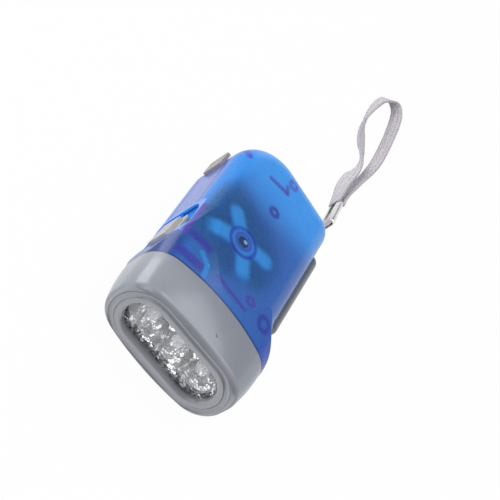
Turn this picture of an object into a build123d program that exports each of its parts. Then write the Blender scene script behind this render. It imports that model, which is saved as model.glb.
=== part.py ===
from build123d import *
import os
from math import acos, atan2, cos, degrees, hypot, pi, radians, sin, sqrt, tan

os.makedirs("parts", exist_ok=True)

# The torch lies on its side: +X is the beam, +Y the squeeze lever, +Z the side face on top.
# The origin is under the middle of the object, on the surface it lies on.

# Overall size
LENGTH = 97.0
WIDTH = 56.0
THICKNESS = 33.0
FRONT_X = LENGTH / 2
TAIL_X = -LENGTH / 2
MID_Z = THICKNESS / 2
OVERRUN = 1.0

# Clearances
SLIP = 0.2
SHAFT_PLAY = 0.05
RUNNING = 0.6

# The two half shells
WALL = 1.8
EDGE_R = 7.5
SWITCH_TAIL_IN = 0.7
SWITCH_TAIL_Y = WIDTH / 2 - SWITCH_TAIL_IN
SWITCH_NECK_IN = 2.4
SWITCH_NECK_Y = WIDTH / 2 - SWITCH_NECK_IN
LEVER_TAIL_IN = 9.1
LEVER_TAIL_Y = WIDTH / 2 - LEVER_TAIL_IN
LEVER_HEAD_IN = 7.8
LEVER_HEAD_Y = WIDTH / 2 - LEVER_HEAD_IN
HEAD_LENGTH = 17.8
SEAM_X = FRONT_X - HEAD_LENGTH
NECK_BACK = 19.7
NECK_X = SEAM_X - NECK_BACK
FLARE_BACK = 14.7
FLARE_X = SEAM_X - FLARE_BACK
FLARE_R = 16.0
NECK_R = 40.0
TAIL_LEAN = 10.0
TAIL_CORNER_R = 17.0
LEVER_CORNER_R = 8.2

# The grey head
SEAM_HALF_Z = 16.2
SEAM_CORNER_IN = 5.2
SEAM_CORNER_R = SEAM_HALF_Z - SEAM_CORNER_IN
CROWN_R = 75.0
BELLY_SHARE = 0.5056
BELLY_X = SEAM_X + BELLY_SHARE * HEAD_LENGTH
BELLY_IN_Y = 0.4
BELLY_HALF_Y = WIDTH / 2 - BELLY_IN_Y
BELLY_IN_Z = 0.5
BELLY_HALF_Z = SEAM_HALF_Z - BELLY_IN_Z
RIM_IN_Y = 1.7
RIM_HALF_Y = WIDTH / 2 - RIM_IN_Y
RIM_IN_Z = 2.2
RIM_HALF_Z = SEAM_HALF_Z - RIM_IN_Z
RIM_CORNER_IN = 2.0
RIM_CORNER_R = RIM_HALF_Z - RIM_CORNER_IN
RIM_CROWN_R = 160.0
RIM_R = 3.2
HEAD_WALL = 2.2
CROWN_LENGTH = 42.7
CROWN_START_X = SEAM_X - CROWN_LENGTH
CROWN_START_RISE = 4.0

# Window, lens, reflector and lamps
WINDOW_HALF_Y = 20.0
WINDOW_HALF_Z = 7.95
SEAT_LIP = 1.0
LIP_WIDTH = 3.9
LIP_R = 1.3
CREASE_R = 1.4
CREASE_OUT = 0.5
LENS_SET_BACK = 1.7
LENS_THICK = 1.6
REFLECTOR_DEPTH = 9.4
CUP_PITCH = 12.2
CUP_MOUTH_R = 7.7
CUP_BOWL_R = 7.3
CUP_THROAT_R = 2.7
CUP_BOW_SHARE = 0.66
CUP_COUNT = 3
LAMP_R = 2.5
LAMP_FLANGE_R = 2.9
LAMP_FLANGE = 1.0
LAMP_LENGTH = 8.6
LAMP_SET_BACK = 1.2
BOARD_THICK = 1.2
BOARD_HALF_Y = 19.0
BOARD_HALF_Z = 7.6

# Squeeze lever
PIVOT_X = 19.5
PIVOT_Y = 15.0
PIN_R = 1.5
BARREL_R = 3.0
LEVER_HALF_Z = 11.0
LEVER_WALL = 1.8
LEVER_TIP_X = -31.0
LEVER_TIP_Y = 22.4
LEVER_HEAD_X = 12.5
LEVER_OUT_Y = 23.2
LEVER_CHEEK_Y = 17.6
LEVER_EDGE_R = 2.6
LEVER_TIP_R = 3.4
SHOULDER_SHARE = 0.7
SPRING_ROOM = 7.0
SPRING_WIRE = 0.8
SPRING_HALF = 3.2
SPRING_LEG = 5.4
SLOT_TAIL_X = -31.8
SLOT_HEAD_X = 19.6
SLOT_PLAY = 0.5

# Gear train: every gear has this module
MODULE = 0.8
PRESSURE = 25.0
ADDENDUM_SHARE = 0.8
DEDENDUM_SHARE = 1.05
BACKLASH = 0.32
SMALL_TEETH = 10
DRIVE_TEETH = 30
IDLER_TEETH = 26
SECTOR_TEETH = 106
SECTOR_DIRECTION = 204.1
SECTOR_ROOT = 170.5
SECTOR_FIRST = 190.0
SECTOR_LAST = 227.0
SECTOR_RIM = 5.0
GEAR_FACE = 2.4
FLANK_STEPS = 3
HUB_R = 2.2
WEB_HOLES = 5
WEB_HOLE_R = 1.9
WEB_HOLE_SHARE = 0.6
RATCHET_TEETH = 8
RATCHET_R = 3.1
RATCHET_RAKE_SHARE = 0.8
PAWL_THICK = 0.8
CHAMFER_SHARE = 0.3
AXLE_R = 0.9
FOOT_HEIGHT = 1.2


def pitch_r(teeth):
    """Pitch radius of a gear."""
    return teeth * MODULE / 2


def level(step):
    """Lower face of the gears on one storey of the train."""
    return WALL + FOOT_HEIGHT + SLIP + step * (GEAR_FACE + RUNNING)


# Axle places: the drive gear meshes with the sector, the idler with both others
DRIVE_REACH = pitch_r(SECTOR_TEETH) + pitch_r(SMALL_TEETH)
DRIVE_X = PIVOT_X + DRIVE_REACH * cos(radians(SECTOR_DIRECTION))
DRIVE_Y = PIVOT_Y + DRIVE_REACH * sin(radians(SECTOR_DIRECTION))
ROTOR_X = 0.0
ROTOR_Y = -5.8
DRIVE_TO_IDLER = pitch_r(DRIVE_TEETH) + pitch_r(SMALL_TEETH)
IDLER_TO_ROTOR = pitch_r(IDLER_TEETH) + pitch_r(SMALL_TEETH)
DRIVE_TO_ROTOR = hypot(ROTOR_X - DRIVE_X, ROTOR_Y - DRIVE_Y)
ALONG = (DRIVE_TO_IDLER**2 - IDLER_TO_ROTOR**2 + DRIVE_TO_ROTOR**2) / (2 * DRIVE_TO_ROTOR)
ASIDE = sqrt(DRIVE_TO_IDLER**2 - ALONG**2)
UNIT_X = (ROTOR_X - DRIVE_X) / DRIVE_TO_ROTOR
UNIT_Y = (ROTOR_Y - DRIVE_Y) / DRIVE_TO_ROTOR
IDLER_X = DRIVE_X + ALONG * UNIT_X - ASIDE * UNIT_Y
IDLER_Y = DRIVE_Y + ALONG * UNIT_Y + ASIDE * UNIT_X

# Bridge plate over the gears, on three pillars of the lower shell
BRIDGE_Z = level(3)
BRIDGE_THICK = 1.2
PILLAR_R = 1.6
PILLAR_PLACES = [(8.0, -15.0), (8.5, 6.5), (-32.4, -17.4)]
BRIDGE_RIM = 1.0
BRIDGE_FOOT_R = 3.0

# Generator
STATOR_Z = BRIDGE_Z + BRIDGE_THICK
STATOR_R = 13.0
STATOR_SHEET = 0.8
STATOR_HEIGHT = 7.2
CLAW_COUNT = 6
CLAW_TURN = 26.0
MAGNET_R = 8.2
MAGNET_HEIGHT = 5.0
AIR_GAP = 0.5
CLAW_THICK = 0.8
CLAW_SHORT = 1.2
BOBBIN_GAP = 0.1
BOBBIN_WALL = 0.7
WINDING_DEPTH = 1.6
FLYWHEEL_R = 14.4
FLYWHEEL_HEIGHT = 3.2
FLYWHEEL_WEB = 1.2
FLYWHEEL_RIM = 3.0
FLYWHEEL_Z = STATOR_Z + STATOR_HEIGHT + RUNNING
SHAFT_R = 1.0
SHAFT_TOP_Z = THICKNESS - WALL - RUNNING
SPIDER_GAP = 1.6
SPIDER_Z = FLYWHEEL_Z + FLYWHEEL_HEIGHT + SPIDER_GAP
SPIDER_THICK = 1.4
SPIDER_CLEAR = 1.6
SPIDER_REACH = FLYWHEEL_R + SPIDER_CLEAR
SPIDER_ARM_WIDTH = 5.6
SPIDER_TURNS = [28.0, 118.0, 208.0, 298.0]
SPIDER_LEG_R = 1.1
SPIDER_DISC_R = 6.6
SPIDER_HUB_R = 3.2
SPIDER_HUB = 3.2
HUB_RING_R = 7.8
HUB_RING_WALL = 0.9
HUB_RING_DEPTH = 2.6

# Screw posts and the lanyard post
POST_R = 2.4
SCREW_R = 1.1
SCREW_HEAD_R = 2.1
SCREW_HEAD = 1.4
SCREW_LENGTH = 13.0
SCREW_HEAD_SEAT_Z = MID_Z - SCREW_LENGTH / 2
TAIL_POST_IN = 6.1
TAIL_POST_X = TAIL_X + TAIL_POST_IN
TAIL_POST_Y = -3.2
HEAD_POST_BACK = 12.9
HEAD_POST_X = SEAM_X - HEAD_POST_BACK
HEAD_POST_Y = 6.8
LANYARD_POST_IN = 10.1
LANYARD_POST_X = TAIL_X + LANYARD_POST_IN
LANYARD_POST_Y = 11.4
POSTS = [(TAIL_POST_X, TAIL_POST_Y), (HEAD_POST_X, HEAD_POST_Y), (LANYARD_POST_X, LANYARD_POST_Y)]
SEAT_WALL = 1.0
MARK_POST_R = 2.0
MARK_POST_DEPTH = 5.0
PIN_BOSS_R = 3.0
RIB_THICK = 1.0
RIB_DEPTH = 3.2
HEAD_RIB_BACK = 7.3
HEAD_RIB_X = SEAM_X - HEAD_RIB_BACK
HEAD_RIB_TAIL_Y = -9.0
CELL_RIB_IN = 12.9
CELL_RIB_X = TAIL_X + CELL_RIB_IN
CELL_RIB_LOW_Y = -12.4
CELL_RIB_HIGH_Y = -4.0
CELL_RIB_FOOT = 2.8

# Lamp switch: a thumb slider in a pocket of the switch side
POCKET_TAIL_X = -1.5
POCKET_HEAD_X = 17.4
POCKET_HALF_Z = 11.5
POCKET_R = 6.0
POCKET_SINK = 3.8
POCKET_FLOOR_Y = POCKET_SINK - WIDTH / 2
SLIDER_TAIL_X = 3.0
SLIDER_LENGTH = 13.8
SLIDER_HALF_Z = 6.4
SLIDER_THICK = 0.9
SLIDER_TRAVEL = 3.0
WEDGE_HALF_Z = 4.2
WEDGE_TAIL_RISE = 1.4
WEDGE_HEAD_RISE = 2.0
SLIDER_CORNER_R = 2.0
STEM_X = 10.6
STEM_HALF = 1.4
SWITCH_TAIL_X = 5.2
SWITCH_LENGTH = 8.6
SWITCH_DEPTH = 2.8
SWITCH_HALF_Z = 4.0
KNOB_HALF = 0.9
KNOB_IN_STEM = 1.2
KNOB_IN_BODY = 1.4

# Lever lock: a slide near the tail of the switch side
LOCK_BACK = 9.9
LOCK_TAIL_X = TAIL_X + LOCK_BACK
LOCK_LENGTH = 8.4
LOCK_HALF_Z = 4.8
LOCK_FACE_IN = 0.1
LOCK_FACE_Y = LOCK_FACE_IN - WIDTH / 2
LOCK_THICK = 1.4
LOCK_TRAVEL = 2.5
LOCK_NECK_BACK = 6.0
LOCK_NECK_X = LOCK_TAIL_X + LOCK_NECK_BACK
LOCK_NECK_HALF = 1.5
LOCK_BLOCK_HALF = 2.2
LOCK_BAR_SINK = 4.4
LOCK_BAR_Y = LOCK_BAR_SINK - WIDTH / 2
LOCK_BAR = 1.6
LOCK_NOSE_X = -12.8
LOCK_NOSE_Y = -17.0
LOCK_NOSE_LENGTH = 4.0
LOCK_CORNER_R = 1.2

# Cells, lying on the bridge plate at the tail
CELL_R = 10.0
CELL_THICK = 3.2
CELL_COUNT = 3
CELL_X = -26.4
CELL_Y = -9.8
SLEEVE_WALL = 0.6
SLEEVE_PLAY = 0.1
TAB_THICK = 0.2
TAB_WIDTH = 3.0
TAB_OUT = 2.6
CELL_EDGE = 0.4
CAN_EDGE = 0.4

# Charge board behind the lamps
CHARGE_BACK = 6.2
CHARGE_X = SEAM_X - CHARGE_BACK
CHARGE_LOW_Y = -17.0
CHARGE_HIGH_Y = 1.0
CHARGE_LOW_Z = 6.0
CHARGE_HIGH_Z = 24.0
CHARGE_THICK = 1.2
CHARGE_RIB_WALL = 0.8
CHARGE_RIB_END = 2.0
CHARGE_RIB_RISE = 1.5
DIODE_SIDE = 5.0
DIODE_THICK = 2.4
DIODE_Y = -10.0
DIODE_Z = 17.5
CAPACITOR_R = 2.5
CAPACITOR_LENGTH = 5.0
CAPACITOR_Y = -4.0
CAPACITOR_Z = 12.0

# Wrist strap
STRAP_WIDTH = 5.5
STRAP_THICK = 0.9
STRAP_EXIT_TURN = -19.0
STRAP_SLOT_WIDTH = 2.8
STRAP_SLOT_REACH = 14.0
STRAP_NECK = 4.6
STRAP_TUBE_R = sqrt(STRAP_WIDTH * STRAP_THICK / pi)
ARC_SHARE = 0.45
STRAP_BEND = 7.6
CRIMP_START = (-66.0, 21.6, 14.2)
CRIMP_END = (-80.8, 21.1, 13.1)
CRIMP_WALL = 0.6
STRAP_ROUTE = [
    (-80.8, 19.8, 13.1),
    (-85.3, 19.65, 12.77),
    (-91.0, 19.9, 11.2),
    (-96.5, 19.9, 9.6),
    (-104.9, 20.6, 7.7),
    (-112.9, 21.6, 6.2),
    (-120.7, 22.7, 4.8),
    (-126.6, 22.9, 3.8),
    (-131.7, 22.2, 3.2),
    (-135.7, 20.3, 3.0),
    (-140.1, 18.0, 2.9),
    (-145.2, 16.1, 2.9),
    (-151.0, 14.8, 2.9),
    (-157.3, 14.2, 2.9),
    (-164.5, 14.2, 2.9),
    (-172.0, 14.9, 2.9),
    (-178.2, 16.9, 2.9),
    (-181.2, 20.1, 2.9),
    (-179.8, 23.4, 2.9),
    (-175.3, 25.5, 2.9),
    (-168.9, 26.8, 2.9),
    (-161.7, 27.7, 2.9),
    (-154.1, 28.5, 2.9),
    (-146.0, 29.1, 2.9),
    (-137.1, 29.3, 3.1),
    (-127.5, 28.5, 3.9),
    (-115.5, 26.6, 5.0),
    (-103.4, 24.7, 6.8),
    (-92.5, 23.2, 9.4),
    (-85.3, 22.25, 12.77),
    (-80.8, 22.4, 13.1),
]


def run_on(start, through, x):
    """Point at x on the straight line from start through a second point."""
    share = (x - start[0]) / (through[0] - start[0])
    return x, start[1] + share * (through[1] - start[1])


def body_points(inset):
    """Plan outline of the body, drawn in from the outer face by the inset and run on past the seam."""
    lean = radians(TAIL_LEAN)
    round_r = TAIL_CORNER_R - inset
    centre_x = TAIL_X + TAIL_CORNER_R
    centre_y = -SWITCH_TAIL_Y + TAIL_CORNER_R
    lever_y = LEVER_TAIL_Y - inset
    neck = (NECK_X, -SWITCH_NECK_Y + inset)
    flare = (FLARE_X, LEVER_HEAD_Y - inset)
    return [
        run_on(neck, (SEAM_X, -WIDTH / 2 + inset), SEAM_X + OVERRUN),
        neck,
        (centre_x - round_r * (1 + sin(lean)) / cos(lean), -SWITCH_TAIL_Y + inset),
        (centre_x + ((lever_y - centre_y) * sin(lean) - round_r) / cos(lean), lever_y),
        flare,
        run_on(flare, (SEAM_X, WIDTH / 2 - inset), SEAM_X + OVERRUN),
    ]


def crowned_section(half_y, half_z, crown_r, corner_r, inset=0.0):
    """Cross-section with bowed top and bottom faces and rounded corners, in a plane across the beam."""
    edge_y = half_y - inset
    top_z = half_z - inset
    edge_z = top_z - (crown_r - sqrt(crown_r**2 - edge_y**2))
    with BuildLine() as loop:
        ThreePointArc((-edge_y, edge_z), (0, top_z), (edge_y, edge_z))
        Line((edge_y, edge_z), (edge_y, -edge_z))
        ThreePointArc((edge_y, -edge_z), (0, -top_z), (-edge_y, -edge_z))
        Line((-edge_y, -edge_z), (-edge_y, edge_z))
    face = make_face(loop.edges())
    fillet(face.vertices(), radius=corner_r - inset)


def across(x):
    """Plane across the beam: its x runs along +Y and its y along +Z, from the middle of the torch."""
    return Plane(origin=(x, 0, MID_Z), x_dir=(0, 1, 0), z_dir=(1, 0, 0))


def span(x_range, y_range, z_range, mode=Mode.ADD):
    """Block between two places on each axis."""
    low = [min(r) for r in (x_range, y_range, z_range)]
    high = [max(r) for r in (x_range, y_range, z_range)]
    middle = [(a + b) / 2 for a, b in zip(low, high)]
    with Locations(tuple(middle)):
        Box(*[b - a for a, b in zip(low, high)], mode=mode)


def body_form(inset):
    """Closed outer form of the two half shells; with an inset, the hollow inside them."""
    points = body_points(inset)
    with BuildPart() as form:
        with BuildSketch(Plane.XY.offset(inset)):
            with BuildLine():
                FilletPolyline(
                    points,
                    radius=[NECK_R, TAIL_CORNER_R - inset, LEVER_CORNER_R - inset, FLARE_R + inset],
                )
                Line(points[-1], points[0])
            make_face()
        extrude(amount=THICKNESS - 2 * inset)
        rim = form.edges().filter_by_position(Axis.Z, inset, inset)
        rim += form.edges().filter_by_position(Axis.Z, THICKNESS - inset, THICKNESS - inset)
        fillet([e for e in rim if e.center().X < SEAM_X + OVERRUN / 2], radius=EDGE_R - inset)
    with BuildPart() as crown:
        with BuildSketch(across(CROWN_START_X)):
            crowned_section(
                WIDTH / 2 + CROWN_START_RISE, SEAM_HALF_Z + CROWN_START_RISE, CROWN_R, SEAM_CORNER_R, inset
            )
        with BuildSketch(across(SEAM_X)):
            crowned_section(WIDTH / 2, SEAM_HALF_Z, CROWN_R, SEAM_CORNER_R, inset)
        loft()
        tail_face = crown.faces().sort_by(Axis.X)[0]
        extrude(tail_face, amount=LENGTH)
        if inset:
            extrude(crown.faces().sort_by(Axis.X)[-1], amount=OVERRUN)
    return form.part & crown.part


def lever_edge_y(x, inset=0.0):
    """Outer line of the squeeze lever in plan, drawn in by the inset."""
    share = (x - LEVER_TIP_X) / (LEVER_HEAD_X - LEVER_TIP_X)
    return LEVER_TIP_Y + share * (LEVER_OUT_Y - LEVER_TIP_Y) - inset


def post(place, radius, low, high, mode=Mode.ADD):
    """Round post between two heights."""
    with Locations((place[0], place[1], (low + high) / 2)):
        Cylinder(radius, high - low, mode=mode)


def heading(start, end):
    """Direction in degrees from one axle to another."""
    return degrees(atan2(end[1] - start[1], end[0] - start[0]))


DRIVE = (DRIVE_X, DRIVE_Y)
IDLER = (IDLER_X, IDLER_Y)
ROTOR = (ROTOR_X, ROTOR_Y)
PIVOT = (PIVOT_X, PIVOT_Y)
CEILING = THICKNESS - WALL
ROOT_Z = WALL / 2

# Moulded case: two halves that meet on the middle plane
case_form = body_form(0.0)
case_hollow = body_form(WALL)

with BuildPart() as pocket_tray:
    span(
        (POCKET_TAIL_X - WALL, POCKET_HEAD_X + WALL),
        (-WIDTH, POCKET_FLOOR_Y + WALL),
        (MID_Z - POCKET_HALF_Z - WALL, MID_Z + POCKET_HALF_Z + WALL),
    )
    add(case_form, mode=Mode.INTERSECT)

with BuildPart() as pocket:
    span(
        (POCKET_TAIL_X, POCKET_HEAD_X),
        (-WIDTH, POCKET_FLOOR_Y),
        (MID_Z - POCKET_HALF_Z, MID_Z + POCKET_HALF_Z),
    )
    fillet(pocket.edges().filter_by(Axis.Y), radius=POCKET_R)

LOCK_SEAT_Y = LOCK_FACE_Y + LOCK_THICK + SLIP
STRAP_SLOT_Z = (STRAP_WIDTH + 2 * SLIP) / 2


def open_case():
    """Openings that both half shells share: pocket, lever slot, lock slide seat and strap slot."""
    add(pocket.part, mode=Mode.SUBTRACT)
    span(
        (STEM_X - STEM_HALF - SLIDER_TRAVEL - SLIP, STEM_X + STEM_HALF + SLIP),
        (POCKET_FLOOR_Y - OVERRUN, POCKET_FLOOR_Y + WALL + OVERRUN),
        (MID_Z - STEM_HALF - SLIP, MID_Z + STEM_HALF + SLIP),
        mode=Mode.SUBTRACT,
    )
    span(
        (SLOT_TAIL_X, SLOT_HEAD_X),
        (LEVER_CHEEK_Y - WALL, WIDTH),
        (MID_Z - LEVER_HALF_Z - SLOT_PLAY, MID_Z + LEVER_HALF_Z + SLOT_PLAY),
        mode=Mode.SUBTRACT,
    )
    span(
        (LOCK_TAIL_X - LOCK_TRAVEL - RUNNING, LOCK_TAIL_X + LOCK_LENGTH + RUNNING),
        (-WIDTH, LOCK_SEAT_Y),
        (MID_Z - LOCK_HALF_Z - SLIP, MID_Z + LOCK_HALF_Z + SLIP),
        mode=Mode.SUBTRACT,
    )
    span(
        (LOCK_NECK_X - LOCK_NECK_HALF - LOCK_TRAVEL - SLIP, LOCK_NECK_X + LOCK_NECK_HALF + SLIP),
        (-WIDTH, -SWITCH_NECK_Y + 2 * WALL),
        (MID_Z - LOCK_NECK_HALF - SLIP, MID_Z + LOCK_NECK_HALF + SLIP),
        mode=Mode.SUBTRACT,
    )
    with Locations(Location((LANYARD_POST_X, LANYARD_POST_Y, MID_Z), (0, 0, STRAP_EXIT_TURN))):
        Box(
            STRAP_SLOT_REACH,
            STRAP_SLOT_WIDTH,
            2 * STRAP_SLOT_Z,
            align=(Align.MAX, Align.CENTER, Align.CENTER),
            mode=Mode.SUBTRACT,
        )


with BuildPart() as upper_shell:
    add(case_form)
    add(case_hollow, mode=Mode.SUBTRACT)
    add(pocket_tray.part)
    open_case()
    split(bisect_by=Plane.XY.offset(MID_Z), keep=Keep.TOP)
    # Hanging posts: two take the case screws, the third the strap as well
    for place in POSTS:
        post(place, POST_R, MID_Z, THICKNESS - ROOT_Z)
        post(place, SCREW_R, MID_Z - OVERRUN, MID_Z + SCREW_LENGTH / 2 + OVERRUN, mode=Mode.SUBTRACT)
    post(DRIVE, MARK_POST_R, CEILING - MARK_POST_DEPTH, THICKNESS - ROOT_Z)
    post(PIVOT, PIN_BOSS_R, MID_Z + LEVER_HALF_Z + SLOT_PLAY, THICKNESS - ROOT_Z)
    post(PIVOT, PIN_R + SHAFT_PLAY, MID_Z, THICKNESS - WALL, mode=Mode.SUBTRACT)
    # Collar round the hub of the bearing spider
    post(ROTOR, HUB_RING_R, CEILING - HUB_RING_DEPTH, THICKNESS - ROOT_Z)
    post(ROTOR, HUB_RING_R - HUB_RING_WALL, CEILING - HUB_RING_DEPTH, CEILING, mode=Mode.SUBTRACT)
    # Stiffening ribs under the side face
    for x_range, y_range in [
        ((HEAD_RIB_X, HEAD_RIB_X + RIB_THICK), (HEAD_RIB_TAIL_Y, HEAD_POST_Y)),
        ((CELL_RIB_X, CELL_RIB_X + RIB_THICK), (CELL_RIB_LOW_Y, CELL_RIB_HIGH_Y)),
        ((CELL_RIB_X - CELL_RIB_FOOT, CELL_RIB_X), (CELL_RIB_HIGH_Y - RIB_THICK, CELL_RIB_HIGH_Y)),
    ]:
        span(x_range, y_range, (CEILING - RIB_DEPTH, THICKNESS - ROOT_Z))
    # Where the outer form is rounded, the posts end in it
    add(case_form, mode=Mode.INTERSECT)
upper_shell.part.label = "upper_shell"
export_step(upper_shell.part, "parts/upper_shell.step")

with BuildPart() as lower_shell:
    add(case_form)
    add(case_hollow, mode=Mode.SUBTRACT)
    add(pocket_tray.part)
    open_case()
    split(bisect_by=Plane.XY.offset(MID_Z), keep=Keep.BOTTOM)
    for place in POSTS:
        post(place, POST_R, ROOT_Z, MID_Z)
        post(place, SCREW_HEAD_R + SLIP + SEAT_WALL, ROOT_Z, SCREW_HEAD_SEAT_Z + SEAT_WALL)
        post(place, SCREW_R + SLIP, -OVERRUN, MID_Z + OVERRUN, mode=Mode.SUBTRACT)
        post(place, SCREW_HEAD_R + SLIP, -OVERRUN, SCREW_HEAD_SEAT_Z, mode=Mode.SUBTRACT)
    post(PIVOT, PIN_BOSS_R, ROOT_Z, MID_Z - LEVER_HALF_Z - SLOT_PLAY)
    post(PIVOT, PIN_R + SHAFT_PLAY, WALL, MID_Z, mode=Mode.SUBTRACT)
    # Foot bosses of the gear train, each with a blind hole for its axle
    for place, axle in [(DRIVE, AXLE_R), (IDLER, AXLE_R), (ROTOR, SHAFT_R)]:
        post(place, HUB_R, ROOT_Z, WALL + FOOT_HEIGHT)
        post(place, axle + SHAFT_PLAY, ROOT_Z, WALL + FOOT_HEIGHT + OVERRUN, mode=Mode.SUBTRACT)
    for place in PILLAR_PLACES:
        post(place, PILLAR_R, ROOT_Z, BRIDGE_Z)
    # Grooved rib that the charge board stands in
    span(
        (CHARGE_X - SLIP - CHARGE_RIB_WALL, CHARGE_X + CHARGE_THICK + SLIP + CHARGE_RIB_WALL),
        (CHARGE_LOW_Y + CHARGE_RIB_END, CHARGE_HIGH_Y - CHARGE_RIB_END),
        (ROOT_Z, CHARGE_LOW_Z + CHARGE_RIB_RISE),
    )
    span(
        (CHARGE_X - SLIP, CHARGE_X + CHARGE_THICK + SLIP),
        (CHARGE_LOW_Y, CHARGE_HIGH_Y),
        (CHARGE_LOW_Z, CHARGE_HIGH_Z),
        mode=Mode.SUBTRACT,
    )
    add(case_form, mode=Mode.INTERSECT)
lower_shell.part.label = "lower_shell"
export_step(lower_shell.part, "parts/lower_shell.step")


def bezel_form(inset, back_x, front_x):
    """Outer form of the grey head, or its hollow, between two places on the beam."""
    stations = [
        (SEAM_X, WIDTH / 2, SEAM_HALF_Z, CROWN_R, SEAM_CORNER_R),
        (BELLY_X, BELLY_HALF_Y, BELLY_HALF_Z, CROWN_R, SEAM_CORNER_R),
        (FRONT_X, RIM_HALF_Y, RIM_HALF_Z, RIM_CROWN_R, RIM_CORNER_R),
    ]
    with BuildPart() as form:
        for x, half_y, half_z, crown_r, corner_r in stations:
            with BuildSketch(across(x)):
                crowned_section(half_y, half_z, crown_r, corner_r, inset)
        loft()
        if inset:
            extrude(form.faces().sort_by(Axis.X)[0], amount=OVERRUN)
            span((front_x, FRONT_X + OVERRUN), (-WIDTH, WIDTH), (-WIDTH, WIDTH), mode=Mode.SUBTRACT)
        else:
            fillet(form.faces().sort_by(Axis.X)[-1].edges(), radius=RIM_R)
    return form.part


def stadium(x, half_y, half_z, length, mode=Mode.ADD):
    """Slab with the outline of the window, running back from a place on the beam."""
    with BuildSketch(across(x)) as outline:
        SlotOverall(2 * half_y, 2 * half_z)
    extrude(outline.sketch, amount=-length, mode=mode)


LENS_FRONT_X = FRONT_X - LENS_SET_BACK
SEAT_X = LENS_FRONT_X - LENS_THICK - LAMP_FLANGE - OVERRUN

with BuildPart() as head_bezel:
    add(bezel_form(0.0, SEAM_X, FRONT_X))
    add(bezel_form(HEAD_WALL, SEAM_X, SEAT_X), mode=Mode.SUBTRACT)
    stadium(FRONT_X + OVERRUN, WINDOW_HALF_Y, WINDOW_HALF_Z, HEAD_LENGTH, mode=Mode.SUBTRACT)
    stadium(
        LENS_FRONT_X, WINDOW_HALF_Y + SEAT_LIP, WINDOW_HALF_Z + SEAT_LIP, HEAD_LENGTH / 2, mode=Mode.SUBTRACT
    )
    # Rolled lip of the window, with a crease round it
    lip = [
        e
        for e in head_bezel.edges().filter_by_position(Axis.X, FRONT_X, FRONT_X)
        if abs(e.center().Y) < WINDOW_HALF_Y + SLIP and abs(e.center().Z - MID_Z) < WINDOW_HALF_Z + SLIP
    ]
    fillet(lip, radius=LIP_R)
    with BuildSketch(across(FRONT_X + CREASE_OUT)) as crease:
        SlotOverall(2 * (WINDOW_HALF_Y + LIP_WIDTH), 2 * (WINDOW_HALF_Z + LIP_WIDTH))
    crease_line = crease.sketch.faces()[0].outer_wire()
    with BuildSketch(crease_line ^ 0) as crease_section:
        Circle(CREASE_R)
    sweep(crease_section.sketch, path=crease_line, mode=Mode.SUBTRACT)
head_bezel.part.label = "head_bezel"
export_step(head_bezel.part, "parts/head_bezel.step")


with BuildPart() as lens_window:
    stadium(
        LENS_FRONT_X, WINDOW_HALF_Y + SEAT_LIP - SLIP, WINDOW_HALF_Z + SEAT_LIP - SLIP, LENS_THICK
    )
lens_window.part.label = "lens_window"
export_step(lens_window.part, "parts/lens_window.step")

CUP_PLACES = [(k - (CUP_COUNT - 1) / 2) * CUP_PITCH for k in range(CUP_COUNT)]
REFLECTOR_FRONT_X = LENS_FRONT_X - LENS_THICK
REFLECTOR_BACK_X = REFLECTOR_FRONT_X - REFLECTOR_DEPTH
BOARD_FRONT_X = REFLECTOR_BACK_X - LAMP_SET_BACK

# One bright moulding with three bowls that run into each other
with BuildPart() as reflector:
    stadium(
        REFLECTOR_FRONT_X, WINDOW_HALF_Y + SEAT_LIP - SLIP, WINDOW_HALF_Z + SEAT_LIP - SLIP, LAMP_FLANGE
    )
    for y in CUP_PLACES:
        with Locations(Location((REFLECTOR_BACK_X, y, MID_Z), (0, 90, 0))):
            Cylinder(CUP_MOUTH_R, REFLECTOR_DEPTH, align=(Align.CENTER, Align.CENTER, Align.MIN))
    for y in CUP_PLACES:
        with BuildSketch(Plane(origin=(REFLECTOR_BACK_X, y, MID_Z), x_dir=(0, 0, 1), z_dir=(0, 1, 0))):
            with BuildLine():
                ThreePointArc(
                    (CUP_THROAT_R, 0),
                    (CUP_THROAT_R + CUP_BOW_SHARE * (CUP_BOWL_R - CUP_THROAT_R), REFLECTOR_DEPTH / 2),
                    (CUP_BOWL_R, REFLECTOR_DEPTH),
                )
                Polyline(
                    (CUP_BOWL_R, REFLECTOR_DEPTH),
                    (0, REFLECTOR_DEPTH),
                    (0, 0),
                    (CUP_THROAT_R, 0),
                )
            make_face()
        revolve(
            axis=Axis((REFLECTOR_BACK_X, y, MID_Z), (1, 0, 0)),
            mode=Mode.SUBTRACT,
        )
reflector.part.label = "reflector"
export_step(reflector.part, "parts/reflector.step")

with BuildPart() as lamp_board:
    with BuildSketch(across(BOARD_FRONT_X)):
        SlotOverall(2 * BOARD_HALF_Y, 2 * BOARD_HALF_Z)
    extrude(amount=-BOARD_THICK)
lamp_board.part.label = "lamp_board"
export_step(lamp_board.part, "parts/lamp_board.step")

with BuildPart() as led_lamps:
    for y in CUP_PLACES:
        with BuildSketch(Plane(origin=(BOARD_FRONT_X, y, MID_Z), x_dir=(0, 0, 1), z_dir=(0, 1, 0))):
            with BuildLine():
                Polyline(
                    (0, 0),
                    (LAMP_FLANGE_R, 0),
                    (LAMP_FLANGE_R, LAMP_FLANGE),
                    (LAMP_R, LAMP_FLANGE),
                    (LAMP_R, LAMP_LENGTH - LAMP_R),
                )
                CenterArc((0, LAMP_LENGTH - LAMP_R), LAMP_R, 0, 90)
                Line((0, LAMP_LENGTH), (0, 0))
            make_face()
        revolve(axis=Axis((BOARD_FRONT_X, y, MID_Z), (1, 0, 0)))
led_lamps.part.label = "led_lamps"
export_step(led_lamps.part, "parts/led_lamps.step")


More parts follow.
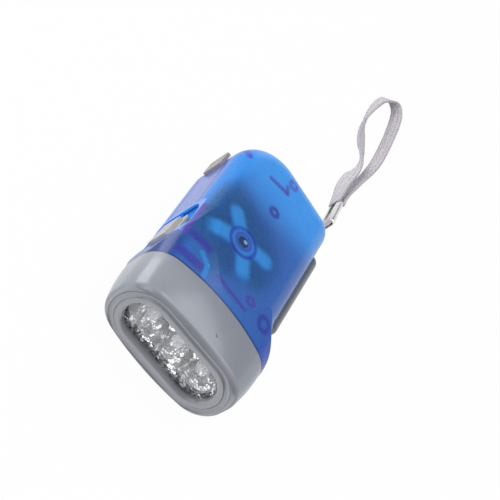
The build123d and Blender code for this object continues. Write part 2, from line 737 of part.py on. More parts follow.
def gear_points(teeth, tooth_direction, numbers=None):
    """Involute teeth in plan round (0, 0), one of them centred on a direction in degrees."""
    pitch = pitch_r(teeth)
    base = pitch * cos(radians(PRESSURE))
    tip = pitch + ADDENDUM_SHARE * MODULE
    root = pitch - DEDENDUM_SHARE * MODULE
    start = max(root, base)

    def involute(r):
        turn = acos(min(1.0, base / r))
        return tan(turn) - turn

    half_at_pitch = (pi * MODULE / 2 - BACKLASH / 2) / (2 * pitch)
    flank = [(start + (tip - start) * k / FLANK_STEPS) for k in range(FLANK_STEPS + 1)]
    half = [(r, half_at_pitch + involute(pitch) - involute(r)) for r in flank]
    if root < base:
        half.insert(0, (root, half[0][1]))
    points = []
    for number in numbers if numbers is not None else range(teeth):
        centre = radians(tooth_direction) + 2 * pi * number / teeth
        points += [(r * cos(centre - a), r * sin(centre - a)) for r, a in half]
        points += [(r * cos(centre + a), r * sin(centre + a)) for r, a in reversed(half)]
    return points


def gear(place, storey, teeth, tooth_direction):
    """Toothed disc on one storey of the train."""
    with BuildSketch(Plane.XY.offset(level(storey))) as outline:
        with Locations(place):
            Polygon(*gear_points(teeth, tooth_direction), align=None)
    extrude(outline.sketch, amount=GEAR_FACE)


def gap_towards(start, end, teeth):
    """Direction of a tooth beside the gap that faces another axle."""
    return heading(start, end) + 180 / teeth


# Squeeze lever: a channel that wraps over the slot, its hinge barrel and its toothed arc
with BuildPart() as squeeze_lever:
    with BuildSketch(Plane.XY.offset(MID_Z - LEVER_HALF_Z)):
        with BuildLine():
            Polyline(
                (LEVER_TIP_X, LEVER_CHEEK_Y),
                (LEVER_TIP_X, LEVER_TIP_Y),
                (LEVER_HEAD_X, LEVER_OUT_Y),
                (PIVOT_X + BARREL_R * SHOULDER_SHARE, PIVOT_Y + BARREL_R * SHOULDER_SHARE),
                (PIVOT_X, PIVOT_Y),
                (PIVOT_X - BARREL_R * SHOULDER_SHARE, PIVOT_Y - BARREL_R * SHOULDER_SHARE),
                (LEVER_HEAD_X - BARREL_R, LEVER_CHEEK_Y),
                close=True,
            )
        make_face()
        with Locations(PIVOT):
            Circle(BARREL_R)
    extrude(amount=2 * LEVER_HALF_Z)
    tip_edge = squeeze_lever.edges().filter_by(Axis.Z).group_by(Axis.X)[0].sort_by(Axis.Y)[-1]
    fillet(tip_edge, radius=LEVER_TIP_R)
    shoulder = (
        squeeze_lever.edges()
        .filter_by(Axis.Z)
        .filter_by_position(Axis.X, LEVER_HEAD_X - SLIP, LEVER_HEAD_X + SLIP)
        .sort_by(Axis.Y)[-1]
    )
    fillet(shoulder, radius=LEVER_TIP_R)
    crest = [
        e
        for e in squeeze_lever.edges()
        if e.center().Y > LEVER_TIP_Y - LEVER_TIP_R
        and abs(abs(e.center().Z - MID_Z) - LEVER_HALF_Z) < SLIP
        and e.center().X < LEVER_HEAD_X + LEVER_TIP_R
    ]
    fillet(crest, radius=LEVER_EDGE_R)
    # Hollow between the two cheeks
    with BuildSketch(Plane.XY.offset(MID_Z - LEVER_HALF_Z + LEVER_WALL)):
        with BuildLine():
            Polyline(
                (LEVER_TIP_X + LEVER_WALL, LEVER_CHEEK_Y - OVERRUN),
                (LEVER_TIP_X + LEVER_WALL, lever_edge_y(LEVER_TIP_X, LEVER_WALL)),
                (LEVER_HEAD_X, lever_edge_y(LEVER_HEAD_X, LEVER_WALL)),
                (LEVER_HEAD_X, LEVER_CHEEK_Y - OVERRUN),
                close=True,
            )
        make_face()
    extrude(amount=2 * (LEVER_HALF_Z - LEVER_WALL), mode=Mode.SUBTRACT)
    # Room for the return spring in the middle of the barrel
    with Locations((PIVOT_X, PIVOT_Y, MID_Z)):
        Box(
            2 * (BARREL_R + OVERRUN),
            2 * (BARREL_R + OVERRUN),
            SPRING_ROOM,
            mode=Mode.SUBTRACT,
        )
    post(PIVOT, PIN_R + SHAFT_PLAY, 0, THICKNESS, mode=Mode.SUBTRACT)
    # Toothed arc
    arc_teeth = [
        n
        for n in range(SECTOR_TEETH)
        if SECTOR_FIRST < (SECTOR_DIRECTION + n * 360 / SECTOR_TEETH) % 360 < SECTOR_LAST
    ]
    first_tooth = min((n if n < SECTOR_TEETH / 2 else n - SECTOR_TEETH) for n in arc_teeth)
    numbers = range(first_tooth, first_tooth + len(arc_teeth))
    teeth_line = gear_points(SECTOR_TEETH, SECTOR_DIRECTION, numbers)
    root_r = pitch_r(SECTOR_TEETH) - DEDENDUM_SHARE * MODULE
    bore_r = root_r - SECTOR_RIM
    with BuildSketch(Plane((PIVOT_X, PIVOT_Y, level(2)))):
        with BuildLine():
            edge_a = radians(SECTOR_ROOT)
            edge_b = radians(SECTOR_LAST + 360 / SECTOR_TEETH / 2)
            middle = (edge_a + edge_b) / 2
            half_way = (edge_a + radians(SECTOR_FIRST)) / 2
            ThreePointArc(
                (root_r * cos(edge_a), root_r * sin(edge_a)),
                (root_r * cos(half_way), root_r * sin(half_way)),
                teeth_line[0],
            )
            Polyline(*teeth_line, (root_r * cos(edge_b), root_r * sin(edge_b)))
            Line(
                (root_r * cos(edge_b), root_r * sin(edge_b)),
                (bore_r * cos(edge_b), bore_r * sin(edge_b)),
            )
            ThreePointArc(
                (bore_r * cos(edge_b), bore_r * sin(edge_b)),
                (bore_r * cos(middle), bore_r * sin(middle)),
                (bore_r * cos(edge_a), bore_r * sin(edge_a)),
            )
            Line(
                (bore_r * cos(edge_a), bore_r * sin(edge_a)),
                (root_r * cos(edge_a), root_r * sin(edge_a)),
            )
        make_face()
    extrude(amount=GEAR_FACE)
squeeze_lever.part.label = "squeeze_lever"
export_step(squeeze_lever.part, "parts/squeeze_lever.step")


# Drive pinion on the sector, with the ratchet wheel of the one-way drive below it
with BuildPart() as drive_pinion:
    gear(DRIVE, 2, SMALL_TEETH, gap_towards(DRIVE, PIVOT, SMALL_TEETH))
    post(DRIVE, HUB_R, level(0) + GEAR_FACE + SLIP, level(2))
    ratchet_line = []
    for tooth in range(RATCHET_TEETH):
        tip_turn = 2 * pi * tooth / RATCHET_TEETH
        root_turn = tip_turn + pi * (1 - RATCHET_RAKE_SHARE) / RATCHET_TEETH
        ratchet_line.append((RATCHET_R * cos(tip_turn), RATCHET_R * sin(tip_turn)))
        ratchet_line.append((HUB_R * cos(root_turn), HUB_R * sin(root_turn)))
    with BuildSketch(Plane.XY.offset(level(0) + GEAR_FACE + SLIP)) as ratchet:
        with Locations(DRIVE):
            Polygon(*ratchet_line, align=None)
    extrude(ratchet.sketch, amount=GEAR_FACE)
    post(DRIVE, AXLE_R + SHAFT_PLAY, 0, THICKNESS, mode=Mode.SUBTRACT)
drive_pinion.part.label = "drive_pinion"
export_step(drive_pinion.part, "parts/drive_pinion.step")

with BuildPart() as drive_gear:
    gear(DRIVE, 0, DRIVE_TEETH, heading(DRIVE, IDLER))
    post(DRIVE, HUB_R, WALL + FOOT_HEIGHT + SHAFT_PLAY, level(0))
    post(DRIVE, AXLE_R + SHAFT_PLAY, 0, THICKNESS, mode=Mode.SUBTRACT)
    with Locations((DRIVE_X, DRIVE_Y)):
        with PolarLocations(WEB_HOLE_SHARE * pitch_r(DRIVE_TEETH), WEB_HOLES):
            Cylinder(WEB_HOLE_R, 2 * THICKNESS, mode=Mode.SUBTRACT)
drive_gear.part.label = "drive_gear"
export_step(drive_gear.part, "parts/drive_gear.step")

# Two sprung pawls, drawn lifted clear of the ratchet wheel
with BuildPart() as ratchet_pawls:
    for turn in (0, 180):
        with BuildSketch(Plane.XY.offset(level(0) + GEAR_FACE)) as pawl:
            with Locations(Location((DRIVE_X, DRIVE_Y), turn)):
                Circle(RATCHET_R + SLIP + PAWL_THICK)
                Circle(RATCHET_R + SLIP, mode=Mode.SUBTRACT)
                Rectangle(2 * THICKNESS, THICKNESS, align=(Align.CENTER, Align.MAX), mode=Mode.SUBTRACT)
                Rectangle(THICKNESS, 2 * THICKNESS, align=(Align.MAX, Align.CENTER), mode=Mode.SUBTRACT)
        extrude(pawl.sketch, amount=GEAR_FACE)
ratchet_pawls.part.label = "ratchet_pawls"
export_step(ratchet_pawls.part, "parts/ratchet_pawls.step")

with BuildPart() as idler_gear:
    gear(IDLER, 0, SMALL_TEETH, gap_towards(IDLER, DRIVE, SMALL_TEETH))
    gear(IDLER, 1, IDLER_TEETH, heading(IDLER, ROTOR))
    post(IDLER, HUB_R, WALL + FOOT_HEIGHT + SHAFT_PLAY, BRIDGE_Z - SLIP)
    post(IDLER, AXLE_R + SHAFT_PLAY, 0, THICKNESS, mode=Mode.SUBTRACT)
    with Locations((IDLER_X, IDLER_Y)):
        with PolarLocations(WEB_HOLE_SHARE * pitch_r(IDLER_TEETH), WEB_HOLES):
            Cylinder(WEB_HOLE_R, 2 * THICKNESS, mode=Mode.SUBTRACT)
idler_gear.part.label = "idler_gear"
export_step(idler_gear.part, "parts/idler_gear.step")

with BuildPart() as rotor_pinion:
    gear(ROTOR, 1, SMALL_TEETH, gap_towards(ROTOR, IDLER, SMALL_TEETH))
    post(ROTOR, HUB_R, WALL + FOOT_HEIGHT + SLIP, BRIDGE_Z - SLIP)
    post(ROTOR, SHAFT_R, 0, THICKNESS, mode=Mode.SUBTRACT)
rotor_pinion.part.label = "rotor_pinion"
export_step(rotor_pinion.part, "parts/rotor_pinion.step")

with BuildPart() as rotor_shaft:
    post(ROTOR, SHAFT_R, WALL, SHAFT_TOP_Z)
    chamfer(rotor_shaft.edges().sort_by(Axis.Z)[-1], length=SHAFT_R * CHAMFER_SHARE)
rotor_shaft.part.label = "rotor_shaft"
export_step(rotor_shaft.part, "parts/rotor_shaft.step")

with BuildPart() as rotor_magnet:
    magnet_z = STATOR_Z + STATOR_SHEET + AIR_GAP
    post(ROTOR, MAGNET_R, magnet_z, magnet_z + MAGNET_HEIGHT)
    post(ROTOR, SHAFT_R, 0, THICKNESS, mode=Mode.SUBTRACT)
    rims = rotor_magnet.edges().filter_by(GeomType.CIRCLE).group_by(SortBy.RADIUS)[-1]
    chamfer(rims, length=SHAFT_R * CHAMFER_SHARE)
rotor_magnet.part.label = "rotor_magnet"
export_step(rotor_magnet.part, "parts/rotor_magnet.step")

with BuildPart() as flywheel:
    with BuildSketch(Plane(origin=(ROTOR_X, ROTOR_Y, FLYWHEEL_Z), x_dir=(1, 0, 0), z_dir=(0, -1, 0))):
        with BuildLine():
            Polyline(
                (SHAFT_R, 0),
                (FLYWHEEL_R, 0),
                (FLYWHEEL_R, FLYWHEEL_HEIGHT),
                (FLYWHEEL_R - FLYWHEEL_RIM, FLYWHEEL_HEIGHT),
                (FLYWHEEL_R - FLYWHEEL_RIM - FLYWHEEL_WEB, FLYWHEEL_WEB),
                (HUB_R + FLYWHEEL_WEB, FLYWHEEL_WEB),
                (HUB_R, FLYWHEEL_HEIGHT),
                (SHAFT_R, FLYWHEEL_HEIGHT),
                close=True,
            )
        make_face()
    revolve(axis=Axis((ROTOR_X, ROTOR_Y, 0), (0, 0, 1)))
flywheel.part.label = "flywheel"
export_step(flywheel.part, "parts/flywheel.step")

# Bridge plate over the gears; it carries the stator, the cells and the upper axle ends
leg_places = [
    (
        ROTOR_X + SPIDER_REACH * cos(radians(turn)),
        ROTOR_Y + SPIDER_REACH * sin(radians(turn)),
    )
    for turn in SPIDER_TURNS[:-1]
]
with BuildPart() as gear_bridge:
    with BuildSketch(Plane.XY.offset(BRIDGE_Z)) as plate:
        rounds = [(ROTOR, STATOR_R), (DRIVE, BRIDGE_FOOT_R), (IDLER, BRIDGE_FOOT_R)]
        rounds += [((CELL_X, CELL_Y), CELL_R)]
        rounds += [(place, PILLAR_R) for place in PILLAR_PLACES]
        rounds += [(place, SPIDER_LEG_R) for place in leg_places]
        for place, radius in rounds:
            with Locations(place):
                Circle(radius + BRIDGE_RIM)
        make_hull()
    extrude(plate.sketch, amount=BRIDGE_THICK)
    for place, axle in [(DRIVE, AXLE_R), (IDLER, AXLE_R), (ROTOR, SHAFT_R)]:
        post(place, axle + SHAFT_PLAY, 0, THICKNESS, mode=Mode.SUBTRACT)
gear_bridge.part.label = "gear_bridge"
export_step(gear_bridge.part, "parts/gear_bridge.step")

with BuildPart() as drive_axle:
    post(DRIVE, AXLE_R, ROOT_Z, STATOR_Z)
drive_axle.part.label = "drive_axle"
export_step(drive_axle.part, "parts/drive_axle.step")

with BuildPart() as idler_axle:
    post(IDLER, AXLE_R, ROOT_Z, STATOR_Z)
idler_axle.part.label = "idler_axle"
export_step(idler_axle.part, "parts/idler_axle.step")

with BuildPart() as lever_pin:
    post(PIVOT, PIN_R, WALL, CEILING - SLIP)
lever_pin.part.label = "lever_pin"
export_step(lever_pin.part, "parts/lever_pin.step")

# Return spring: a wound sleeve on the hinge pin, with one leg on the head post
with BuildPart() as lever_spring:
    spring_r = PIN_R + SLIP + SPRING_WIRE
    post(PIVOT, spring_r, MID_Z - SPRING_HALF, MID_Z + SPRING_HALF)
    span(
        (PIVOT_X - spring_r, PIVOT_X - spring_r + SPRING_WIRE),
        (PIVOT_Y - SPRING_LEG, PIVOT_Y),
        (MID_Z - SPRING_HALF, MID_Z - SPRING_HALF + SPRING_WIRE),
    )
    span(
        (PIVOT_X - spring_r, PIVOT_X),
        (PIVOT_Y + spring_r - SPRING_WIRE, PIVOT_Y + spring_r),
        (MID_Z + SPRING_HALF - SPRING_WIRE, MID_Z + SPRING_HALF),
    )
    post(PIVOT, PIN_R + SLIP, 0, THICKNESS, mode=Mode.SUBTRACT)
lever_spring.part.label = "lever_spring"
export_step(lever_spring.part, "parts/lever_spring.step")


def ring(place, inner, outer, low, high):
    """Ring between two radii and two heights, made as one profile."""
    with BuildSketch(Plane.XY.offset(low)) as outline:
        with Locations(place):
            Circle(outer)
            Circle(inner, mode=Mode.SUBTRACT)
    extrude(outline.sketch, amount=high - low)


def stator_half(sheet_z, wall_z, claw_z, first_turn):
    """One half of the claw-pole stator: sheet ring, outer wall and the claws round the magnet."""
    claw_r = MAGNET_R + AIR_GAP
    ring(ROTOR, claw_r, STATOR_R, sheet_z, sheet_z + STATOR_SHEET)
    ring(ROTOR, STATOR_R - STATOR_SHEET, STATOR_R, *sorted((sheet_z, wall_z)))
    low, high = sorted((sheet_z, claw_z))
    for claw in range(CLAW_COUNT):
        turn = radians(first_turn + claw * 360 / CLAW_COUNT)
        half = radians(CLAW_TURN / 2)
        with BuildSketch(Plane.XY.offset(low)) as outline:
            with BuildLine() as loop:
                outer_r = claw_r + CLAW_THICK
                corners = []
                for r, sign in [(claw_r, -1), (claw_r, 1), (outer_r, 1), (outer_r, -1)]:
                    angle = turn + sign * half
                    corners.append((ROTOR_X + r * cos(angle), ROTOR_Y + r * sin(angle)))
                inner_middle = (ROTOR_X + claw_r * cos(turn), ROTOR_Y + claw_r * sin(turn))
                outer_middle = (ROTOR_X + outer_r * cos(turn), ROTOR_Y + outer_r * sin(turn))
                ThreePointArc(corners[0], inner_middle, corners[1])
                Line(corners[1], corners[2])
                ThreePointArc(corners[2], outer_middle, corners[3])
                Line(corners[3], corners[0])
            make_face(loop.edges())
        extrude(outline.sketch, amount=high - low)


STATOR_TOP_Z = STATOR_Z + STATOR_HEIGHT
with BuildPart() as stator_lower:
    stator_half(STATOR_Z, STATOR_Z + STATOR_HEIGHT / 2, STATOR_TOP_Z - CLAW_SHORT, 0)
stator_lower.part.label = "stator_lower"
export_step(stator_lower.part, "parts/stator_lower.step")

with BuildPart() as stator_upper:
    upper_sheet_z = STATOR_TOP_Z - STATOR_SHEET
    stator_half(upper_sheet_z, STATOR_Z + STATOR_HEIGHT / 2, STATOR_Z + CLAW_SHORT, 180 / CLAW_COUNT)
stator_upper.part.label = "stator_upper"
export_step(stator_upper.part, "parts/stator_upper.step")

BOBBIN_R = MAGNET_R + AIR_GAP + CLAW_THICK + BOBBIN_GAP
BOBBIN_TOP_R = BOBBIN_R + BOBBIN_WALL + WINDING_DEPTH
BOBBIN_LOW_Z = STATOR_Z + STATOR_SHEET + BOBBIN_GAP
BOBBIN_HIGH_Z = STATOR_TOP_Z - STATOR_SHEET - BOBBIN_GAP
with BuildPart() as coil_bobbin:
    ring(ROTOR, BOBBIN_R, BOBBIN_R + BOBBIN_WALL, BOBBIN_LOW_Z, BOBBIN_HIGH_Z)
    ring(ROTOR, BOBBIN_R, BOBBIN_TOP_R, BOBBIN_LOW_Z, BOBBIN_LOW_Z + BOBBIN_WALL)
    ring(ROTOR, BOBBIN_R, BOBBIN_TOP_R, BOBBIN_HIGH_Z - BOBBIN_WALL, BOBBIN_HIGH_Z)
coil_bobbin.part.label = "coil_bobbin"
export_step(coil_bobbin.part, "parts/coil_bobbin.step")

with BuildPart() as coil_winding:
    ring(
        ROTOR,
        BOBBIN_R + BOBBIN_WALL,
        BOBBIN_TOP_R - BOBBIN_GAP,
        BOBBIN_LOW_Z + BOBBIN_WALL,
        BOBBIN_HIGH_Z - BOBBIN_WALL,
    )
coil_winding.part.label = "coil_winding"
export_step(coil_winding.part, "parts/coil_winding.step")

# Four-armed bearing plate over the flywheel, on three legs that stand on the bridge
with BuildPart() as bearing_spider:
    post(ROTOR, SPIDER_DISC_R, SPIDER_Z, SPIDER_Z + SPIDER_THICK)
    post(ROTOR, SPIDER_HUB_R, SPIDER_Z, SPIDER_Z + SPIDER_HUB)
    for turn in SPIDER_TURNS:
        past_leg = SPIDER_LEG_R if turn != SPIDER_TURNS[-1] else -SPIDER_LEG_R
        with BuildSketch(Plane((ROTOR_X, ROTOR_Y, SPIDER_Z)).rotated((0, 0, turn))) as arm:
            Rectangle(SPIDER_REACH + past_leg, SPIDER_ARM_WIDTH, align=(Align.MIN, Align.CENTER))
            fillet(arm.vertices().group_by(Axis.X)[-1], radius=SPIDER_LEG_R)
        extrude(arm.sketch, amount=SPIDER_THICK)
    for place in leg_places:
        post(place, SPIDER_LEG_R, STATOR_Z, SPIDER_Z)
    post(ROTOR, SHAFT_R + SHAFT_PLAY, 0, THICKNESS, mode=Mode.SUBTRACT)
bearing_spider.part.label = "bearing_spider"
export_step(bearing_spider.part, "parts/bearing_spider.step")

# Lamp slider: a thumb plate with a ramp, its stem through the pocket floor
SLIDER_BASE_Y = POCKET_FLOOR_Y - SLIP
SLIDER_FACE_Y = SLIDER_BASE_Y - SLIDER_THICK
SLIDER_HEAD_X = SLIDER_TAIL_X + SLIDER_LENGTH
TRAY_Y = POCKET_FLOOR_Y + WALL
STEM_END_Y = TRAY_Y - SLIP
KNOB_X = (STEM_X - KNOB_HALF, STEM_X + KNOB_HALF)
KNOB_Z = (MID_Z - KNOB_HALF, MID_Z + KNOB_HALF)
with BuildPart() as lamp_slider:
    span(
        (SLIDER_TAIL_X, SLIDER_HEAD_X),
        (SLIDER_FACE_Y, SLIDER_BASE_Y),
        (MID_Z - SLIDER_HALF_Z, MID_Z + SLIDER_HALF_Z),
    )
    fillet(lamp_slider.edges().filter_by(Axis.Y), radius=SLIDER_CORNER_R)
    with BuildSketch(Plane.XY.offset(MID_Z - WEDGE_HALF_Z)):
        with BuildLine():
            Polyline(
                (SLIDER_TAIL_X + SLIDER_CORNER_R, SLIDER_BASE_Y),
                (SLIDER_TAIL_X + SLIDER_CORNER_R, SLIDER_FACE_Y - WEDGE_TAIL_RISE),
                (SLIDER_HEAD_X, SLIDER_FACE_Y - WEDGE_HEAD_RISE),
                (SLIDER_HEAD_X, SLIDER_BASE_Y),
                close=True,
            )
        make_face()
    extrude(amount=2 * WEDGE_HALF_Z)
    span(
        (STEM_X - STEM_HALF, STEM_X + STEM_HALF),
        (SLIDER_BASE_Y, STEM_END_Y),
        (MID_Z - STEM_HALF, MID_Z + STEM_HALF),
    )
    span(KNOB_X, (STEM_END_Y - KNOB_IN_STEM, TRAY_Y), KNOB_Z, mode=Mode.SUBTRACT)
lamp_slider.part.label = "lamp_slider"
export_step(lamp_slider.part, "parts/lamp_slider.step")

with BuildPart() as switch_knob:
    span(KNOB_X, (STEM_END_Y - KNOB_IN_STEM, TRAY_Y + KNOB_IN_BODY), KNOB_Z)
switch_knob.part.label = "switch_knob"
export_step(switch_knob.part, "parts/switch_knob.step")

with BuildPart() as lamp_switch:
    span(
        (SWITCH_TAIL_X, SWITCH_TAIL_X + SWITCH_LENGTH),
        (TRAY_Y, TRAY_Y + SWITCH_DEPTH),
        (MID_Z - SWITCH_HALF_Z, MID_Z + SWITCH_HALF_Z),
    )
    span(
        (KNOB_X[0] - SLIDER_TRAVEL - SLIP, KNOB_X[1] + SLIP),
        (TRAY_Y, TRAY_Y + KNOB_IN_BODY + SLIP),
        (KNOB_Z[0] - SLIP, KNOB_Z[1] + SLIP),
        mode=Mode.SUBTRACT,
    )
lamp_switch.part.label = "lamp_switch"
export_step(lamp_switch.part, "parts/lamp_switch.step")

# Lock slide: thumb plate outside, bar and nose inside, one moulding through the wall
LOCK_LOW_Z = level(2)
with BuildPart() as lock_slide:
    span(
        (LOCK_TAIL_X, LOCK_TAIL_X + LOCK_LENGTH),
        (LOCK_FACE_Y, LOCK_FACE_Y + LOCK_THICK),
        (MID_Z - LOCK_HALF_Z, MID_Z + LOCK_HALF_Z),
    )
    fillet(lock_slide.edges().filter_by(Axis.Y), radius=LOCK_CORNER_R)
    span(
        (LOCK_NECK_X - LOCK_NECK_HALF, LOCK_NECK_X + LOCK_NECK_HALF),
        (LOCK_FACE_Y, LOCK_BAR_Y),
        (MID_Z - LOCK_NECK_HALF, MID_Z + LOCK_NECK_HALF),
    )
    span(
        (LOCK_NECK_X - LOCK_BLOCK_HALF, LOCK_NECK_X + LOCK_BLOCK_HALF),
        (LOCK_BAR_Y, LOCK_BAR_Y + LOCK_BAR),
        (LOCK_LOW_Z, MID_Z + LOCK_NECK_HALF),
    )
    span(
        (LOCK_NECK_X - LOCK_BLOCK_HALF, LOCK_NOSE_X),
        (LOCK_BAR_Y, LOCK_BAR_Y + LOCK_BAR),
        (LOCK_LOW_Z, LOCK_LOW_Z + GEAR_FACE),
    )
    span(
        (LOCK_NOSE_X - LOCK_NOSE_LENGTH, LOCK_NOSE_X),
        (LOCK_BAR_Y, LOCK_NOSE_Y),
        (LOCK_LOW_Z, LOCK_LOW_Z + GEAR_FACE),
    )
lock_slide.part.label = "lock_slide"
export_step(lock_slide.part, "parts/lock_slide.step")

# Three button cells with welded tabs between them, in a plastic sleeve
CELL_PITCH = CELL_THICK + TAB_THICK
SLEEVE_TOP_Z = STATOR_Z + CELL_COUNT * CELL_PITCH + TAB_THICK + SLEEVE_PLAY
with BuildPart() as coin_cells:
    for cell in range(CELL_COUNT):
        low = STATOR_Z + TAB_THICK + cell * CELL_PITCH
        post((CELL_X, CELL_Y), CELL_R, low, low + CELL_THICK)
    fillet(coin_cells.edges().filter_by(GeomType.CIRCLE), radius=CELL_EDGE)
coin_cells.part.label = "coin_cells"
export_step(coin_cells.part, "parts/coin_cells.step")

with BuildPart() as cell_tabs:
    for tab in range(CELL_COUNT + 1):
        low = STATOR_Z + tab * CELL_PITCH
        outermost = tab in (0, CELL_COUNT)
        reach = CELL_R + TAB_OUT if outermost else TAB_WIDTH
        span(
            (CELL_X - TAB_WIDTH / 2, CELL_X + TAB_WIDTH / 2),
            (CELL_Y - TAB_WIDTH, CELL_Y + reach),
            (low, low + TAB_THICK),
        )
cell_tabs.part.label = "cell_tabs"
export_step(cell_tabs.part, "parts/cell_tabs.step")

with BuildPart() as cell_sleeve:
    sleeve_r = CELL_R + SLEEVE_PLAY
    ring((CELL_X, CELL_Y), sleeve_r, sleeve_r + SLEEVE_WALL, STATOR_Z, SLEEVE_TOP_Z)
    post((CELL_X, CELL_Y), sleeve_r + SLEEVE_WALL, SLEEVE_TOP_Z, SLEEVE_TOP_Z + SLEEVE_WALL)
    for low in (STATOR_Z, STATOR_Z + CELL_COUNT * CELL_PITCH):
        span(
            (CELL_X - TAB_WIDTH / 2 - SLEEVE_PLAY, CELL_X + TAB_WIDTH / 2 + SLEEVE_PLAY),
            (CELL_Y, CELL_Y + WIDTH),
            (low, low + TAB_THICK + SLEEVE_PLAY),
            mode=Mode.SUBTRACT,
        )
cell_sleeve.part.label = "cell_sleeve"
export_step(cell_sleeve.part, "parts/cell_sleeve.step")

# Charge board with its diode bridge and smoothing capacitor
with BuildPart() as charge_board:
    span(
        (CHARGE_X, CHARGE_X + CHARGE_THICK),
        (CHARGE_LOW_Y, CHARGE_HIGH_Y),
        (CHARGE_LOW_Z, CHARGE_HIGH_Z),
    )
charge_board.part.label = "charge_board"
export_step(charge_board.part, "parts/charge_board.step")

with BuildPart() as diode_bridge:
    with Locations((CHARGE_X + CHARGE_THICK, DIODE_Y, DIODE_Z)):
        Box(DIODE_THICK, DIODE_SIDE, DIODE_SIDE, align=(Align.MIN, Align.CENTER, Align.CENTER))
    chamfer(diode_bridge.faces().sort_by(Axis.X)[-1].edges(), length=CAN_EDGE)
diode_bridge.part.label = "diode_bridge"
export_step(diode_bridge.part, "parts/diode_bridge.step")

with BuildPart() as capacitor:
    with Locations(Location((CHARGE_X + CHARGE_THICK, CAPACITOR_Y, CAPACITOR_Z), (0, 90, 0))):
        Cylinder(CAPACITOR_R, CAPACITOR_LENGTH, align=(Align.CENTER, Align.CENTER, Align.MIN))
    fillet(capacitor.faces().sort_by(Axis.X)[-1].edges(), radius=CAN_EDGE)
capacitor.part.label = "capacitor"
export_step(capacitor.part, "parts/capacitor.step")

with BuildPart() as case_screws:
    for place in POSTS:
        post(place, SCREW_R, SCREW_HEAD_SEAT_Z, SCREW_HEAD_SEAT_Z + SCREW_LENGTH)
        post(place, SCREW_HEAD_R, SCREW_HEAD_SEAT_Z - SCREW_HEAD, SCREW_HEAD_SEAT_Z)
case_screws.part.label = "case_screws"
export_step(case_screws.part, "parts/case_screws.step")


# Wrist strap: it loops round the lanyard post, leaves through the tail and enters the crimp
def strap_plane(start, end):
    """Plane across a straight stretch of strap, at its start, with its y upwards."""
    run = Vector(end) - Vector(start)
    sideways = Vector(0, 0, 1).cross(run)
    return Plane(origin=start, x_dir=sideways, z_dir=run)


STRAP_TURN = radians(180 + STRAP_EXIT_TURN)
NECK_PLACE = (
    LANYARD_POST_X + STRAP_NECK * cos(STRAP_TURN),
    LANYARD_POST_Y + STRAP_NECK * sin(STRAP_TURN),
)
BEND_PLACE = (
    LANYARD_POST_X + STRAP_BEND * cos(STRAP_TURN),
    LANYARD_POST_Y + STRAP_BEND * sin(STRAP_TURN),
    MID_Z,
)
with BuildPart() as strap_tail:
    with BuildSketch(Plane.XY.offset(MID_Z - STRAP_WIDTH / 2)) as eye:
        with Locations((LANYARD_POST_X, LANYARD_POST_Y)):
            Circle(POST_R + SLIP + STRAP_THICK)
        with Locations(NECK_PLACE):
            Circle(STRAP_THICK)
        make_hull()
        with Locations((LANYARD_POST_X, LANYARD_POST_Y)):
            Circle(POST_R + SLIP, mode=Mode.SUBTRACT)
    extrude(eye.sketch, amount=STRAP_WIDTH)
    for start, end in [
        ((NECK_PLACE[0], NECK_PLACE[1], MID_Z), BEND_PLACE),
        (BEND_PLACE, CRIMP_START),
        (CRIMP_START, CRIMP_END),
    ]:
        with BuildSketch(strap_plane(start, end)) as strip:
            Rectangle(2 * STRAP_THICK, STRAP_WIDTH)
        extrude(strip.sketch, amount=(Vector(end) - Vector(start)).length)
strap_tail.part.label = "strap_tail"
export_step(strap_tail.part, "parts/strap_tail.step")

with BuildPart() as strap_crimp:
    with BuildSketch(strap_plane(CRIMP_START, CRIMP_END)) as crimp:
        Rectangle(2 * (STRAP_THICK + CRIMP_WALL), STRAP_WIDTH + 2 * CRIMP_WALL)
        Rectangle(2 * STRAP_THICK, STRAP_WIDTH, mode=Mode.SUBTRACT)
    extrude(crimp.sketch, amount=(Vector(CRIMP_END) - Vector(CRIMP_START)).length)
strap_crimp.part.label = "strap_crimp"
export_step(strap_crimp.part, "parts/strap_crimp.step")

strap_radii = []
for before, corner, after in zip(STRAP_ROUTE, STRAP_ROUTE[1:], STRAP_ROUTE[2:]):
    run_in = Vector(corner) - Vector(before)
    run_out = Vector(after) - Vector(corner)
    half_turn = radians(run_in.get_angle(run_out)) / 2
    strap_radii.append(ARC_SHARE * min(run_in.length, run_out.length) / tan(half_turn))
print("strap radii", [round(radius, 1) for radius in strap_radii])

with BuildPart() as wrist_strap:
    with BuildLine() as strap_line:
        FilletPolyline(STRAP_ROUTE, radius=strap_radii)
    with BuildSketch(strap_line.line ^ 0) as strap_section:
        Circle(STRAP_TUBE_R)
    sweep(strap_section.sketch, path=strap_line.line)
wrist_strap.part.label = "wrist_strap"
export_step(wrist_strap.part, "parts/wrist_strap.step")
strap_length = strap_line.wires()[0].length
strap_volume = strap_length * pi * STRAP_TUBE_R**2
print("strap length", round(strap_length, 1), "volume share", wrist_strap.part.volume / strap_volume)
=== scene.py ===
# %% [markdown]
# # A squeeze dynamo torch
# The torch lies on its side on a white table: a clear blue case, a grey head with three lamps,
# a grey lever, two thumb slides and a white wrist strap. The mechanical model is loaded first,
# and everything below dresses it.

# %% Load the torch
import math

import bmesh
import bpy
from mathutils import Matrix, Vector


